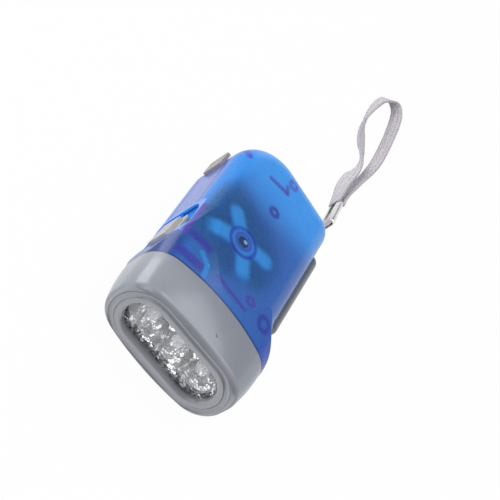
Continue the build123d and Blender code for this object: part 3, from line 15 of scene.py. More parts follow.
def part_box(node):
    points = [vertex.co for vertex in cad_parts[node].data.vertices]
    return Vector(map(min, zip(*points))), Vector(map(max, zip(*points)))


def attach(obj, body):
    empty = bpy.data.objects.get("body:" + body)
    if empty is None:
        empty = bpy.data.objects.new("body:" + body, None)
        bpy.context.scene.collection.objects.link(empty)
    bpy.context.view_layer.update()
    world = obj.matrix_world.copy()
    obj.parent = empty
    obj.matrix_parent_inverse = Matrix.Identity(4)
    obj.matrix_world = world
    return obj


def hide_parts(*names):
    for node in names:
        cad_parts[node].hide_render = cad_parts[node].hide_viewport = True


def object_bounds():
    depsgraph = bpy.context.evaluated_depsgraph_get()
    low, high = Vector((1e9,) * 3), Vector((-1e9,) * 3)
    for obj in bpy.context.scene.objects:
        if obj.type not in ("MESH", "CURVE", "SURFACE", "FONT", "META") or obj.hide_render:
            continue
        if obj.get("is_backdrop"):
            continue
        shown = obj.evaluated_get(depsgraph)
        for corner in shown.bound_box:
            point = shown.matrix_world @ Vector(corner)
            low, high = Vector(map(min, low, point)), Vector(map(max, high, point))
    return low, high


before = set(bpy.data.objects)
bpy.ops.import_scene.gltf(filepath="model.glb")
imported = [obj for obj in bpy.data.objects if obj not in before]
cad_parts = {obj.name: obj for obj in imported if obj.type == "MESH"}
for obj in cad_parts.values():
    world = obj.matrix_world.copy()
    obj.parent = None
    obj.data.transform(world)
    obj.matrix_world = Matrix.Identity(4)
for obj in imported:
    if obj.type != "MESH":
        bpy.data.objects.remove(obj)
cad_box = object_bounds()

MM = 0.001
# The two halves of the case meet at this height
MIDDLE_Z = 16.5


def mm(*values):
    """A point given in millimetres, as Blender's metres."""
    return Vector([v * MM for v in values])


# %% [markdown]
# ## Camera
# The photograph is a close view from above and from the lamp end, with the torch turned on the
# picture. The camera's place, lens and three directions were worked out from points on the
# outline, so they are written down as they are: right, up and backwards.

# %% Camera
CAMERA_RIGHT = (-0.375319, 0.626475, 0.683139)
CAMERA_UP = (-0.521117, -0.752118, 0.403429)
CAMERA_BACK = (0.766540, -0.204580, 0.608750)
CAMERA_PLACE = (377.24, -103.60, 329.92)
PICTURE_PIXELS = 500
LENS_PIXELS = 1464.2

camera_data = bpy.data.cameras.new("camera")
camera_data.sensor_width = 36.0
camera_data.lens = LENS_PIXELS / PICTURE_PIXELS * camera_data.sensor_width
camera = bpy.data.objects.new("camera", camera_data)
bpy.context.scene.collection.objects.link(camera)
camera_turn = Matrix((CAMERA_RIGHT, CAMERA_UP, CAMERA_BACK)).transposed().to_4x4()
camera.matrix_world = Matrix.Translation(mm(*CAMERA_PLACE)) @ camera_turn
bpy.context.scene.camera = camera
bpy.context.scene.view_settings.view_transform = "Standard"
print("lens", round(camera_data.lens, 2), "mm")

# %% [markdown]
# ## Writing materials as sums
# A material here is a small sum over the surface: where a mask is one, mix in a second colour.
# The class below wraps a socket, so that `1 - mask` or `mask * 0.4` adds the Math nodes. Colours
# go through a Mix node, because a Math node would turn them grey.


# %% Socket maths
class Sum:
    """An output socket that can be used in arithmetic."""

    def __init__(self, finish, socket):
        self.finish = finish
        self.socket = socket

    def math(self, operation, first, second=0.0):
        settings = {"operation": operation}
        return self.finish.node("ShaderNodeMath", settings, {0: first, 1: second})

    def __add__(self, other):
        return self.math("ADD", self, other)

    def __sub__(self, other):
        return self.math("SUBTRACT", self, other)

    def __rsub__(self, other):
        return self.math("SUBTRACT", other, self)

    def __mul__(self, other):
        return self.math("MULTIPLY", self, other)

    def __truediv__(self, other):
        return self.math("DIVIDE", self, other)

    def high(self, other):
        return self.math("MAXIMUM", self, other)

    def low(self, other):
        return self.math("MINIMUM", self, other)

    def size(self):
        return self.math("ABSOLUTE", self)

    def root(self):
        return self.math("SQRT", self)

    def wave(self, pitch):
        """0 to 1 and back once in each pitch."""
        return self.math("SINE", self * (2 * math.pi / pitch)) * 0.5 + 0.5

    def fade(self, start, end):
        """0 up to start, 1 from end on, with a soft ramp between."""
        settings = {"interpolation_type": "SMOOTHSTEP"}
        inputs = {"Value": self, "From Min": start, "From Max": end}
        if start > end:
            inputs = {"Value": 0.0 - self, "From Min": -start, "From Max": -end}
        return self.finish.node("ShaderNodeMapRange", settings, inputs)

    def band(self, middle, half, soft):
        """1 within half of a middle value, with soft edges."""
        return 1 - (self - middle).size().fade(half, half + soft)


# %% Materials
class Finish:
    """A new material, or the world's given tree; node() adds any node to it."""

    def __init__(self, name=None, tree=None):
        self.material = None
        if tree is None:
            self.material = bpy.data.materials.new(name)
            self.material.use_nodes = True
            tree = self.material.node_tree
        self.tree = tree
        self.tree.nodes.clear()

    def node(self, kind, settings=None, inputs=None, out=0):
        """Add a node: its settings first, then the values or links of its sockets."""
        made = self.tree.nodes.new(kind)
        for key, value in (settings or {}).items():
            setattr(made, key, value)
        for key, value in (inputs or {}).items():
            if isinstance(value, Sum):
                self.tree.links.new(value.socket, made.inputs[key])
            else:
                made.inputs[key].default_value = value
        return Sum(self, made.outputs[out])

    def split(self, vector, scale=1000.0):
        """The three numbers of a vector, in millimetres."""
        parts = self.tree.nodes.new("ShaderNodeSeparateXYZ")
        self.tree.links.new(vector.socket, parts.inputs[0])
        return [Sum(self, parts.outputs[axis]) * scale for axis in range(3)]

    def point(self):
        """The place on the object, in metres."""
        return self.node("ShaderNodeTexCoord", out="Object")

    def place(self):
        """x, y and z on the object, in millimetres."""
        return self.split(self.point())

    def noise(self, scale, detail=2.0, roughness=0.5):
        """Soft random values, with about scale lumps to the metre."""
        inputs = {"Vector": self.point(), "Scale": scale, "Detail": detail, "Roughness": roughness}
        return self.node("ShaderNodeTexNoise", None, inputs)

    def cells(self, scale, feature="F1", out="Distance"):
        """Random cells, with about scale of them to the metre."""
        inputs = {"Vector": self.point(), "Scale": scale}
        return self.node("ShaderNodeTexVoronoi", {"feature": feature}, inputs, out)

    def rays(self):
        """Which rays are mirrored, and which come straight, mirrored or through clear pieces."""
        straight = self.node("ShaderNodeLightPath", out="Is Camera Ray")
        mirrored = self.node("ShaderNodeLightPath", out="Is Glossy Ray")
        through = self.node("ShaderNodeLightPath", out="Is Transmission Ray")
        return mirrored, straight.high(mirrored).high(through)

    def mix(self, share, first, second):
        """The first colour where the share is 0, the second where it is 1."""
        inputs = {0: share, 6: first, 7: second}
        return self.node("ShaderNodeMix", {"data_type": "RGBA"}, inputs, out=2)

    def bump(self, height, strength, distance):
        """A normal that leans with the height."""
        inputs = {"Height": height, "Strength": strength, "Distance": distance}
        return self.node("ShaderNodeBump", None, inputs)

    def surface(self, inputs):
        """A Principled shader."""
        return self.node("ShaderNodeBsdfPrincipled", None, inputs)

    def blend(self, share, first, second):
        """The first shader where the share is 0, the second where it is 1."""
        return self.node("ShaderNodeMixShader", None, {0: share, 1: first, 2: second})

    def output(self, shader, output_kind="ShaderNodeOutputMaterial"):
        """Join the shader to the output, and return the material, or None for the world."""
        end = self.tree.nodes.new(output_kind)
        self.tree.links.new(shader.socket, end.inputs["Surface"])
        return self.material


# %% Colours
WHITE = (1, 1, 1, 1)


def rgb(code):
    """Linear colour from the six digits of a screen colour."""
    parts = [int(code[k : k + 2], 16) / 255 for k in (0, 2, 4)]
    linear = [c / 12.92 if c <= 0.04045 else ((c + 0.055) / 1.055) ** 2.4 for c in parts]
    return (*linear, 1.0)


def dress(node, material):
    """Give a piece of the mechanical model its material."""
    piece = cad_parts[node]
    piece.data.materials.clear()
    piece.data.materials.append(material)
    print(node, "is", material.name)


# %% [markdown]
# ## Light
# Product pictures like this one are taken in a tent of white paper. The world gives a plain soft
# light, but the camera and mirrors see it as white paper. A mirror needs something dark to show,
# so the tent has a dark gap high up behind the tail and one low in front of the head, and only
# reflections see them. Real cards in the scene could do this, but they would also shade the
# torch. Three large lamps give the grey plastic its long soft reflections.

# %% White tent
PAPER_STRENGTH = 1.0
GAP_STRENGTH = 0.15
LIGHT_STRENGTH = 0.42
LIGHT_COLOUR = (0.96, 0.98, 1, 1)
# Each gap: its middle height, half height and soft edge, as shares of a ball round the torch
CEILING_GAP = (0.66, 0.14, 0.1)
FRONT_GAP = (0.22, 0.07, 0.05)


def white_tent():
    """Light the scene with a tent of white paper."""
    world = bpy.data.worlds.new("studio")
    bpy.context.scene.world = world
    world.use_nodes = True
    tent = Finish(tree=world.node_tree)

    def background(colour, strength):
        return tent.node("ShaderNodeBackground", None, {"Color": colour, "Strength": strength})

    mirrored, seen = tent.rays()
    east, _, height = tent.split(tent.node("ShaderNodeTexCoord", out="Generated"), 1.0)
    ceiling_gap = height.band(*CEILING_GAP) * (1 - east.fade(-0.5, -0.3))
    front_gap = height.band(*FRONT_GAP) * east.fade(0.1, 0.3)
    gap = ceiling_gap.high(front_gap) * mirrored
    paper = background(WHITE, PAPER_STRENGTH)
    dark = background(WHITE, GAP_STRENGTH)
    light = background(LIGHT_COLOUR, LIGHT_STRENGTH)
    shown = tent.blend(gap, paper, dark)
    tent.output(tent.blend(seen, light, shown), "ShaderNodeOutputWorld")
    print("world", world.name, len(world.node_tree.nodes), "nodes")


white_tent()

# %% Lamps
# Each lamp: its place and its target in millimetres, its size in metres and its power in watts
LAMPS = {
    "tent_top": ((-150, 100, 700), (0, 0, 15), 0.5, 1.9),
    "tent_side": ((350, -450, 320), (20, 0, 15), 0.35, 1.1),
    "tent_left": ((-300, -620, 150), (30, -20, 20), 0.36, 1.5),
}


def lamp(name, place, target, size, power):
    """A square area lamp that faces a target."""
    light = bpy.data.lights.new(name, "AREA")
    light.size = size
    light.energy = power
    holder = bpy.data.objects.new(name, light)
    holder.location = mm(*place)
    holder.rotation_euler = (mm(*target) - mm(*place)).to_track_quat("-Z", "Y").to_euler()
    bpy.context.scene.collection.objects.link(holder)
    print(name, power, "W")


for lamp_name, settings in LAMPS.items():
    lamp(lamp_name, *settings)

# %% [markdown]
# ## Table
# The table is a plain white sheet. The camera sees it almost as bright as the paper behind it,
# and the small share that is matt cloth keeps the torch's shadow. Ahead of the window the sheet
# glows brighter still for mirrors alone, a painted light, as if a lit sheet lay there. It is
# what the crackled reflector shows.

# %% Floor
FLOOR_HALF = 3.0
PAPER_SHARE = 0.97
MIRROR_GLOW_STRENGTH = 3.2
MIRROR_GLOW_STARTS = (46.0, 54.0)


def white_table():
    """White paper with a little matt cloth in it, and a painted glow ahead of the window for
    mirrors.
    """
    white = Finish("white_table")
    cloth = white.surface({"Base Color": (0.9, 0.9, 0.9, 1.0), "Roughness": 0.9})
    glow = white.node("ShaderNodeEmission", None, {"Color": WHITE, "Strength": PAPER_STRENGTH})
    # painted light: the sheet ahead of the window glows brighter, and only mirrors see it
    mirror_glow = white.node("ShaderNodeEmission", None, {"Color": WHITE, "Strength": MIRROR_GLOW_STRENGTH})
    x, _, _ = white.place()
    mirrored, seen = white.rays()
    paper = white.blend(mirrored * x.fade(*MIRROR_GLOW_STARTS), glow, mirror_glow)
    return white.output(white.blend(seen * PAPER_SHARE, cloth, paper))


shape = bmesh.new()
bmesh.ops.create_grid(shape, x_segments=1, y_segments=1, size=FLOOR_HALF)
floor_mesh = bpy.data.meshes.new("floor")
shape.to_mesh(floor_mesh)
shape.free()
floor_mesh.materials.append(white_table())
floor = bpy.data.objects.new("floor", floor_mesh)
bpy.context.scene.collection.objects.link(floor)
floor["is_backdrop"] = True
print("floor", 2 * FLOOR_HALF, "m wide")

# %% [markdown]
# ## Wrist strap
# The strap is a flat woven band, 5.5 mm wide. Both of its ends are held in the steel crimp. It
# falls to the table, twists over twice and comes back. Cloth simulation could drop it, but the
# photograph gives its exact line, so the band is a flat grid that is bent along a smooth line
# and thickened afterwards. The line's control points are those of the mechanical model.

# %% Line of the strap
BAND_WIDTH = 5.5
BAND_THICK = 0.9
# Each row: a control point in millimetres, and the band's turn there in degrees (90 is on edge)
STRAP_LINE = [
    (-80.8, 19.8, 13.1, 90), (-85.3, 19.65, 12.77, 96), (-91.0, 19.9, 11.2, 104),
    (-96.5, 19.9, 9.6, 114), (-104.9, 20.6, 7.7, 128), (-112.9, 21.6, 6.2, 128),
    (-120.7, 22.7, 4.8, 100), (-126.6, 22.9, 3.8, 74), (-131.7, 22.2, 3.2, 38),
    (-135.7, 20.3, 3.0, 20), (-140.1, 18.0, 2.9, 15), (-145.2, 16.1, 2.9, 24),
    (-151.0, 14.8, 2.9, 48), (-157.3, 14.2, 2.9, 82), (-164.5, 14.2, 2.9, 101),
    (-172.0, 14.9, 2.9, 116), (-178.2, 16.9, 2.9, 139), (-181.2, 20.1, 2.9, 125),
    (-179.8, 23.4, 2.9, 90), (-175.3, 25.5, 2.9, 66), (-168.9, 26.8, 2.9, 59),
    (-161.7, 27.7, 2.9, 62), (-154.1, 28.5, 2.9, 62), (-146.0, 29.1, 2.9, 62),
    (-137.1, 29.3, 3.1, 62), (-127.5, 28.5, 3.9, 66), (-115.5, 26.6, 5.0, 72),
    (-103.4, 24.7, 6.8, 75), (-92.5, 23.2, 9.4, 84), (-85.3, 22.25, 12.77, 90),
    (-80.8, 22.4, 13.1, 90),
]
LINE_STEPS = 8


def smooth_line(name, points):
    """Points along the smooth curve that a list of control points in millimetres shapes."""
    data = bpy.data.curves.new(name, "CURVE")
    data.dimensions = "3D"
    data.resolution_u = LINE_STEPS
    spline = data.splines.new("NURBS")
    spline.points.add(len(points) - 1)
    for knot, point in zip(spline.points, points):
        knot.co = (*mm(*point), 1.0)
    spline.order_u = 3
    spline.use_endpoint_u = True
    holder = bpy.data.objects.new(name, data)
    return [v.co.copy() for v in bpy.data.meshes.new_from_object(holder).vertices]


strap_points = smooth_line("strap_line", [row[:3] for row in STRAP_LINE])

# %% [markdown]
# ## Bending a band
# The band starts as a flat grid. Its columns follow the line and its rows go across the band.
# Each column has its own turn about the line, read between the two nearest control points, so
# the twists are even. The map called "band" keeps how far along and across the tape a point is,
# in metres, for the weave.


# %% Turns and pieces
def turn_at(share):
    """Turn of the band in degrees at a share of the line's parameter."""
    last = len(STRAP_LINE) - 2
    places = [0.0] + [k + 0.5 for k in range(last)] + [float(last)]
    where = share * last
    for k in range(len(places) - 1):
        if where <= places[k + 1]:
            part = (where - places[k]) / (places[k + 1] - places[k])
            return STRAP_LINE[k][3] + part * (STRAP_LINE[k + 1][3] - STRAP_LINE[k][3])
    return STRAP_LINE[-1][3]


def add_piece(name, shape, material, replaced=None):
    """Make a piece from a bmesh, riding on the case; it may replace a mechanical one."""
    data = bpy.data.meshes.new(name)
    bmesh.ops.recalc_face_normals(shape, faces=shape.faces)
    for face in shape.faces:
        face.smooth = True
    shape.to_mesh(data)
    shape.free()
    piece = bpy.data.objects.new(name, data)
    bpy.context.scene.collection.objects.link(piece)
    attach(piece, "case")
    if replaced:
        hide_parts(replaced)
    data.materials.append(material)
    print(name, len(data.polygons), "faces")
    return piece


# %% Band
BAND_ROWS = 6
SKY = Vector((0, 0, 1))


def column_of(vert, last):
    """The column of a grid from -1 to 1 that a vertex is in."""
    return round((vert.co.x + 1) / 2 * last)


def band(line, turns):
    """A flat grid bent along a line, then thickened; its own map is in metres."""
    half_width = BAND_WIDTH * MM / 2
    thick = BAND_THICK * MM
    last = len(line) - 1
    shape = bmesh.new()
    layer = shape.loops.layers.uv.new("band")
    bmesh.ops.create_grid(shape, x_segments=last, y_segments=BAND_ROWS, size=1.0)
    far = [0.0]
    for a, b in zip(line, line[1:]):
        far.append(far[-1] + (b - a).length)
    for face in shape.faces:
        for loop in face.loops:
            loop[layer].uv = (far[column_of(loop.vert, last)], loop.vert.co.y * half_width)
    directions = []
    for k, degrees in enumerate(turns):
        along = (line[min(k + 1, last)] - line[max(k - 1, 0)]).normalized()
        side = SKY.cross(along).normalized()
        rise = along.cross(side)
        angle = math.radians(degrees)
        across = math.cos(angle) * side + math.sin(angle) * rise
        directions.append((across, along.cross(across)))
    for vert in shape.verts:
        k = column_of(vert, last)
        across, normal = directions[k]
        vert.co = line[k] + across * (vert.co.y * half_width) - normal * (thick / 2)
    shape.normal_update()
    bmesh.ops.solidify(shape, geom=shape.faces[:], thickness=-thick)
    return shape


# %% [markdown]
# ## Woven tape
# Polyester tape is a plain weave: fine ribs across it, warp threads along it and a firmer edge
# on each side. Both thread directions come from the band's own map, so the weave follows every
# twist. The white yarn is painted a greyer violet in the hollows between ribs and threads, as
# painted shade, and its ribs catch the light through a bump.


# %% Tape finish
RIB_PITCH = 1.05
WARP_PITCH = 0.9
SELVEDGE = (BAND_WIDTH / 2 - 0.5, BAND_WIDTH / 2 - 0.15)
# Two fine lines along the tape: how far from its middle, half width and soft edge
TAPE_LINES = (1.15, 0.06, 0.16)


def woven_tape():
    """White polyester tape, from the band's own map in millimetres."""
    tape = Finish("woven_tape")
    along, across, _ = tape.split(tape.node("ShaderNodeUVMap", {"uv_map": "band"}))
    ribs = along.wave(RIB_PITCH)
    warp = across.wave(WARP_PITCH)
    edge = across.size().fade(*SELVEDGE)
    fuzz = tape.noise(900.0, 3.0)
    height = ribs * 0.6 + warp * (1 - edge) * 0.35 + edge * 0.5 + fuzz * 0.4
    # painted shade: the yarn is greyer violet in the hollows between the ribs and threads
    yarn = tape.mix(ribs * 0.55 + warp * 0.25 + fuzz * 0.2, rgb("b4acb4"), rgb("e8e4e9"))
    yarn = tape.mix(edge * 0.35, yarn, rgb("a8a0a9"))
    seams = across.size().band(*TAPE_LINES)
    yarn = tape.mix(seams * 0.45, yarn, rgb("8f8790"))
    inputs = {"Base Color": yarn, "Roughness": 0.85, "Normal": tape.bump(height, 0.6, 0.0003)}
    inputs["Sheen Weight"] = 0.25
    return tape.output(tape.surface(inputs))


tape_finish = woven_tape()

# %% Strap piece
last_point = len(strap_points) - 1
strap_turns = [turn_at(k / last_point) for k in range(last_point + 1)]
strap_shape = band(strap_points, strap_turns)
strap = add_piece("strap_band", strap_shape, tape_finish, "wrist_strap")
lowest = min(v.co.z for v in strap.data.vertices)
print("lowest point of the strap", round(lowest / MM, 2), "mm")

# %% [markdown]
# ## Tail of the strap
# Inside the case the tape goes once round a moulded post and leaves through a slot in the tail,
# two layers thick, to the crimp. Two separate layers would need their ends joined, so it is one
# more band on edge: its line comes in along one side, goes round the post and leaves along the
# other.

# %% Tail band
POST = (-38.4, 11.4, MIDDLE_Z)
POST_LOOP_R = 3.15
LOOP_POINTS = 9
LOOP_STARTS = 60
LOOP_STEP = 30
TAIL_SLOT = (-45.59, 13.87, MIDDLE_Z)
CRIMP_NEAR = (-66.0, 21.6, 14.2)
CRIMP_FAR = (-80.8, 21.1, 13.1)
END_INSIDE = 0.05
LAYER_OFF = BAND_THICK / 2 + 0.02
ON_EDGE = 90.0


def beside(point, ahead, off):
    """A point moved sideways from a run towards another point."""
    run = Vector((ahead[0] - point[0], ahead[1] - point[1])).normalized()
    return (point[0] - run.y * off, point[1] + run.x * off, point[2])


def between(start, end, share):
    """A point on the straight run between two others."""
    return tuple(Vector(start).lerp(Vector(end), share))


def tail_side(off):
    """Control points from the far end of the crimp to the slot, on one side of the middle."""
    return [
        beside(between(CRIMP_FAR, CRIMP_NEAR, END_INSIDE), CRIMP_NEAR, off),
        beside(CRIMP_NEAR, TAIL_SLOT, off),
        beside(between(CRIMP_NEAR, TAIL_SLOT, 0.5), TAIL_SLOT, off),
        beside(TAIL_SLOT, POST, off),
    ]


def round_post():
    """Control points round the post, from the slot's side round its back."""
    towards_slot = math.atan2(TAIL_SLOT[1] - POST[1], TAIL_SLOT[0] - POST[0])
    points = []
    for k in range(LOOP_POINTS):
        angle = towards_slot + math.radians(LOOP_STARTS + k * LOOP_STEP)
        x = POST[0] + POST_LOOP_R * math.cos(angle)
        y = POST[1] + POST_LOOP_R * math.sin(angle)
        points.append((x, y, POST[2]))
    return points


tail_points = tail_side(-LAYER_OFF) + round_post() + tail_side(LAYER_OFF)[::-1]
tail_line = smooth_line("tail_line", tail_points)
tail_shape = band(tail_line, [ON_EDGE] * len(tail_line))
tail = add_piece("strap_tail_band", tail_shape, tape_finish, "strap_tail")

# %% [markdown]
# ## Crimp
# The crimp is a strip of plated steel, folded round the tape and pressed shut, so it has soft
# corners, an open seam on one side and rolled ends. A bevelled box would have the outline but no
# seam and no inside, so a grid is wrapped round a rounded rectangle and thickened, as the real
# sheet is. The steel is bright, with fine cloudy marks, and a dark band along the seam is painted
# shade, where the open gap lies in shadow.

# %% Crimp sheet
CRIMP_SHEET = 0.45
CRIMP_CLEAR = 0.1
CRIMP_HALF_WIDE = BAND_THICK + CRIMP_CLEAR + CRIMP_SHEET
CRIMP_HALF_HIGH = BAND_WIDTH / 2 + CRIMP_CLEAR + CRIMP_SHEET
CRIMP_CORNER = 1.35
CORNER_STEPS = 6
CRIMP_SEAM = 0.8
LENGTH_CUTS = 12
# The press leaves a shallow waist, and the ends are rolled in a little
WAIST_DEPTH = 0.06
WAIST_LENGTH = 0.16
END_ROLL = 0.05


def crimp_outline():
    """Points round the sleeve's section, from one lip of the seam to the other."""
    flat_wide = CRIMP_HALF_WIDE - CRIMP_CORNER
    flat_high = CRIMP_HALF_HIGH - CRIMP_CORNER
    points = [(-CRIMP_HALF_WIDE, CRIMP_SEAM / 2)]
    for across, up, first in [(-1, 1, 180), (1, 1, 90), (1, -1, 0), (-1, -1, -90)]:
        for k in range(CORNER_STEPS + 1):
            angle = math.radians(first - 90 * k / CORNER_STEPS)
            wide = across * flat_wide + CRIMP_CORNER * math.cos(angle)
            points.append((wide, up * flat_high + CRIMP_CORNER * math.sin(angle)))
    points.append((-CRIMP_HALF_WIDE, -CRIMP_SEAM / 2))
    return points


def crimp_sheet():
    """A grid wrapped round the outline and drawn out between the crimp's two ends."""
    outline = crimp_outline()
    last = len(outline) - 1
    near, far = mm(*CRIMP_NEAR), mm(*CRIMP_FAR)
    run = (far - near).normalized()
    sideways = SKY.cross(run).normalized()
    upright = run.cross(sideways)
    shape = bmesh.new()
    bmesh.ops.create_grid(shape, x_segments=last, y_segments=LENGTH_CUTS, size=1.0)
    for vert in shape.verts:
        wide, high = outline[column_of(vert, last)]
        part = (vert.co.y + 1) / 2
        waist = WAIST_DEPTH * math.exp(-((part - 0.5) / WAIST_LENGTH) ** 2)
        pressed = 1 - waist - END_ROLL * abs(2 * part - 1) ** 8
        vert.co = near.lerp(far, part) - sideways * wide * MM * pressed - upright * high * MM
    shape.normal_update()
    bmesh.ops.recalc_face_normals(shape, faces=shape.faces)
    bmesh.ops.solidify(shape, geom=shape.faces[:], thickness=CRIMP_SHEET * MM)
    return shape


# %% Crimp finish
CRIMP_SLOPE = (CRIMP_FAR[2] - CRIMP_NEAR[2]) / (CRIMP_FAR[0] - CRIMP_NEAR[0])
SEAM_SHADE_EDGE = (0.8, 1.5)
SEAM_SHADE_SIDE = (20.0, 20.6)


def plated_steel():
    """Bright plated sheet, with painted shade along the seam."""
    steel = Finish("plated_steel")
    x, y, z = steel.place()
    streak = steel.noise(260.0, 4.0, 0.6)
    plate = steel.mix(streak * 0.5, rgb("e9e7e6"), rgb("bdbabb"))
    from_seam = (z - CRIMP_NEAR[2] - (x - CRIMP_NEAR[0]) * CRIMP_SLOPE).size()
    # painted shade: a dark band along the seam, where the open gap lies in shadow
    seam = (1 - from_seam.fade(*SEAM_SHADE_EDGE)) * (1 - y.fade(*SEAM_SHADE_SIDE))
    plate = steel.mix(seam * 0.85, plate, rgb("332f31"))
    inputs = {"Base Color": plate, "Metallic": 1.0, "Roughness": streak * 0.12 + 0.1}
    inputs["Normal"] = steel.bump(streak, 0.08, 0.0003)
    return steel.output(steel.surface(inputs))


# %% Crimp piece and cord
crimp = add_piece("strap_crimp_sleeve", crimp_sheet(), plated_steel(), "strap_crimp")

mm(*STRAP_LINE[0][:3])

# %% [markdown]
# ## Clear blue case
# The case is moulded in clear blue plastic with a frosted inside, so what lies close under the
# wall shows with soft edges, and the rest is a dark cloud. Real refraction would need very many
# samples, and the export would lose it. So the wall is partly see-through, most over the
# flywheel, and what shows through it is painted on as masks, in millimetres on the side face.


# %% Distances on the side face
def from_point(x, y, place):
    """Distance on the side face from a point."""
    return ((x - place[0]) * (x - place[0]) + (y - place[1]) * (y - place[1])).root()


def from_dash(x, y, start, end):
    """Distance on the side face from a straight dash."""
    run_x, run_y = end[0] - start[0], end[1] - start[1]
    part = ((x - start[0]) * run_x + (y - start[1]) * run_y) / (run_x**2 + run_y**2)
    part = part.high(0.0).low(1.0)
    off_x = x - start[0] - part * run_x
    off_y = y - start[1] - part * run_y
    return (off_x * off_x + off_y * off_y).root()


# %% [markdown]
# ## Colour of the wall
# The blue is not even. It is painted bright at the tail, as light passing through an empty
# case, and deeper towards the head. The long edges gather light, so they are painted a stronger
# blue or violet; along the slides the edge is painted bright towards the tail and dark navy as
# shade by the head.
# The parts close under the wall make a slate cloud, wide round the flywheel, with a few more
# patches beside it, and it ends short of the edge with the slides. Each of these is one soft
# ramp along an axis or out from a point, mixed over the colour before it.

# %% Wall colour
# The lit middle of the flywheel's bearing, as it shows on the side face
HUB_SHOWN = (3.3, -7.3)
# Each cloud: its middle, its full radius and its soft edge in millimetres, strength
CLOUDS = [
    ((-4.0, -17.0), 6.0, 11.0, 0.85),
    ((9.0, -21.0), 6.0, 9.0, 1.0),
    ((16.0, -11.0), 4.0, 9.0, 0.9),
    ((10.0, 3.0), 2.0, 9.0, 0.8),
]
HUB_CLOUD = (6.0, 24.0)
CLOUD_ENDS = (-26.0, -23.4)


def wall_blue(wall, x, y, z):
    """The blue, with painted light at the tail and edges, and painted shade by the head."""
    swirl = wall.noise(70.0, 2.0)
    # painted light: bright at the tail, where light passes through the empty case
    colour = wall.mix(x.fade(-31.0, -10.0), rgb("49a6ff"), rgb("3a6cc0"))
    colour = wall.mix(swirl.fade(0.35, 0.7) * 0.2, colour, rgb("2f80de"))
    # painted light: the long edges gather light and turn a stronger blue or violet
    colour = wall.mix(y.fade(19.0, 26.0) * 0.5, colour, rgb("3c4fca"))
    lever_and_tail = y.fade(14.0, 20.0).high((0.0 - x).fade(38.0, 44.0))
    rounding = (1 - z.fade(28.0, 32.7)) * lever_and_tail
    colour = wall.mix(rounding * 0.6, colour, rgb("2f4ccc"))
    # painted light on the slides' edge towards the tail, and painted shade on it by the head
    slides_edge = (0.0 - y).fade(20.5, 24.5)
    colour = wall.mix(slides_edge * (1 - x.fade(10.0, 20.0)), colour, rgb("2490f0"))
    return wall.mix(slides_edge * x.fade(14.0, 22.0), colour, rgb("1f4694"))


def dark_cloud(wall, x, y, from_hub, grain, colour):
    """The dark parts close under the wall, blurred by its frosting."""
    dark = (1 - from_hub.fade(*HUB_CLOUD)) * 0.75
    for middle, clear, soft, strength in CLOUDS:
        patch = 1 - from_point(x, y, middle).fade(clear, clear + soft)
        dark = dark.high(patch * strength)
    slate = wall.mix(grain.fade(0.2, 0.8), rgb("285c98"), rgb("2c64a4"))
    return wall.mix(dark * y.fade(*CLOUD_ENDS), colour, slate)


# %% [markdown]
# ## Marks on the side face
# The bearing plate's four bright arms meet in a hub over the flywheel, with the shaft's end in
# its middle, and a painted highlight lies on that end. Round them show screw posts as rings, and
# an L-shaped rib and others as dashes; their violet is a painted reflection where they thicken
# the wall. The pieces are really there under the wall, but seen straight through it they would
# be sharp. A mask with a soft edge gives the blur of frosted plastic at no cost in samples. The
# marks belong to the upper face alone, so a fade along z keeps them off the other walls.

# %% Marks
FACE_STARTS = (26.0, 29.0)
# The ends of the bearing plate's arms
ARMS_SHOWN = [(9.4, -20.0), (-4.8, -15.4), (16.8, 0.2), (0.8, 3.2)]
ARM_EDGE = (1.5, 4.4)
ARM_ENDS = (11.6, 16.4)
HUB_EDGE = (3.0, 6.5)
# Each disc: its middle, its clear and its soft radius in millimetres, colour, strength
DISCS = [
    (HUB_SHOWN, 3.4, 4.4, "4a9cf4", 0.7),
    (HUB_SHOWN, 1.9, 2.9, "28234f", 0.9),
    # painted highlight on the shaft's end
    ((2.6, -6.6), 0.5, 1.1, "9fd8f4", 0.9),
]
# Each dash: two ends, half width and soft edge in millimetres, colour, strength
DASHES = [
    ((-35.4, -25.2), (-32.0, -23.4), 0.5, 0.9, "3c3cc0", 0.8),
    ((-31.9, -12.9), (-33.3, -4.8), 0.5, 0.9, "5348b4", 0.75),
    ((-33.3, -4.8), (-35.8, -6.0), 0.5, 0.9, "5a4cb0", 0.7),
    ((17.4, -22.0), (18.3, -15.0), 0.7, 1.8, "3f36a8", 0.75),
    ((26.4, -22.0), (27.0, -14.0), 0.9, 2.0, "3f3aa4", 0.75),
    ((24.6, -7.4), (25.4, 6.5), 0.35, 1.0, "4c46ac", 0.8),
    ((21.6, -16.2), (24.3, -12.2), 0.5, 0.8, "2f8ce0", 0.9),
    ((24.3, -12.2), (29.0, -11.0), 0.5, 0.8, "2f8ce0", 0.9),
]
# Each ring: its middle, radius, half width and soft edge in millimetres, colour, strength
RINGS = [
    ((-39.4, -4.5), 1.6, 0.4, 0.8, "5a5cc8", 0.75),
    ((-20.4, -4.6), 1.6, 0.5, 0.8, "3c44a8", 0.85),
    ((20.4, 6.7), 1.5, 0.4, 0.8, "4c48b0", 0.75),
    ((21.6, 15.4), 2.4, 0.5, 0.9, "363eb0", 0.75),
    ((3.6, -7.2), 5.5, 0.3, 1.0, "2b3ab4", 0.75),
    ((3.4, -7.3), 4.3, 0.3, 0.9, "4a84e8", 0.55),
    ((3.2, -7.3), 3.2, 0.25, 0.7, "3a46b8", 0.7),
]


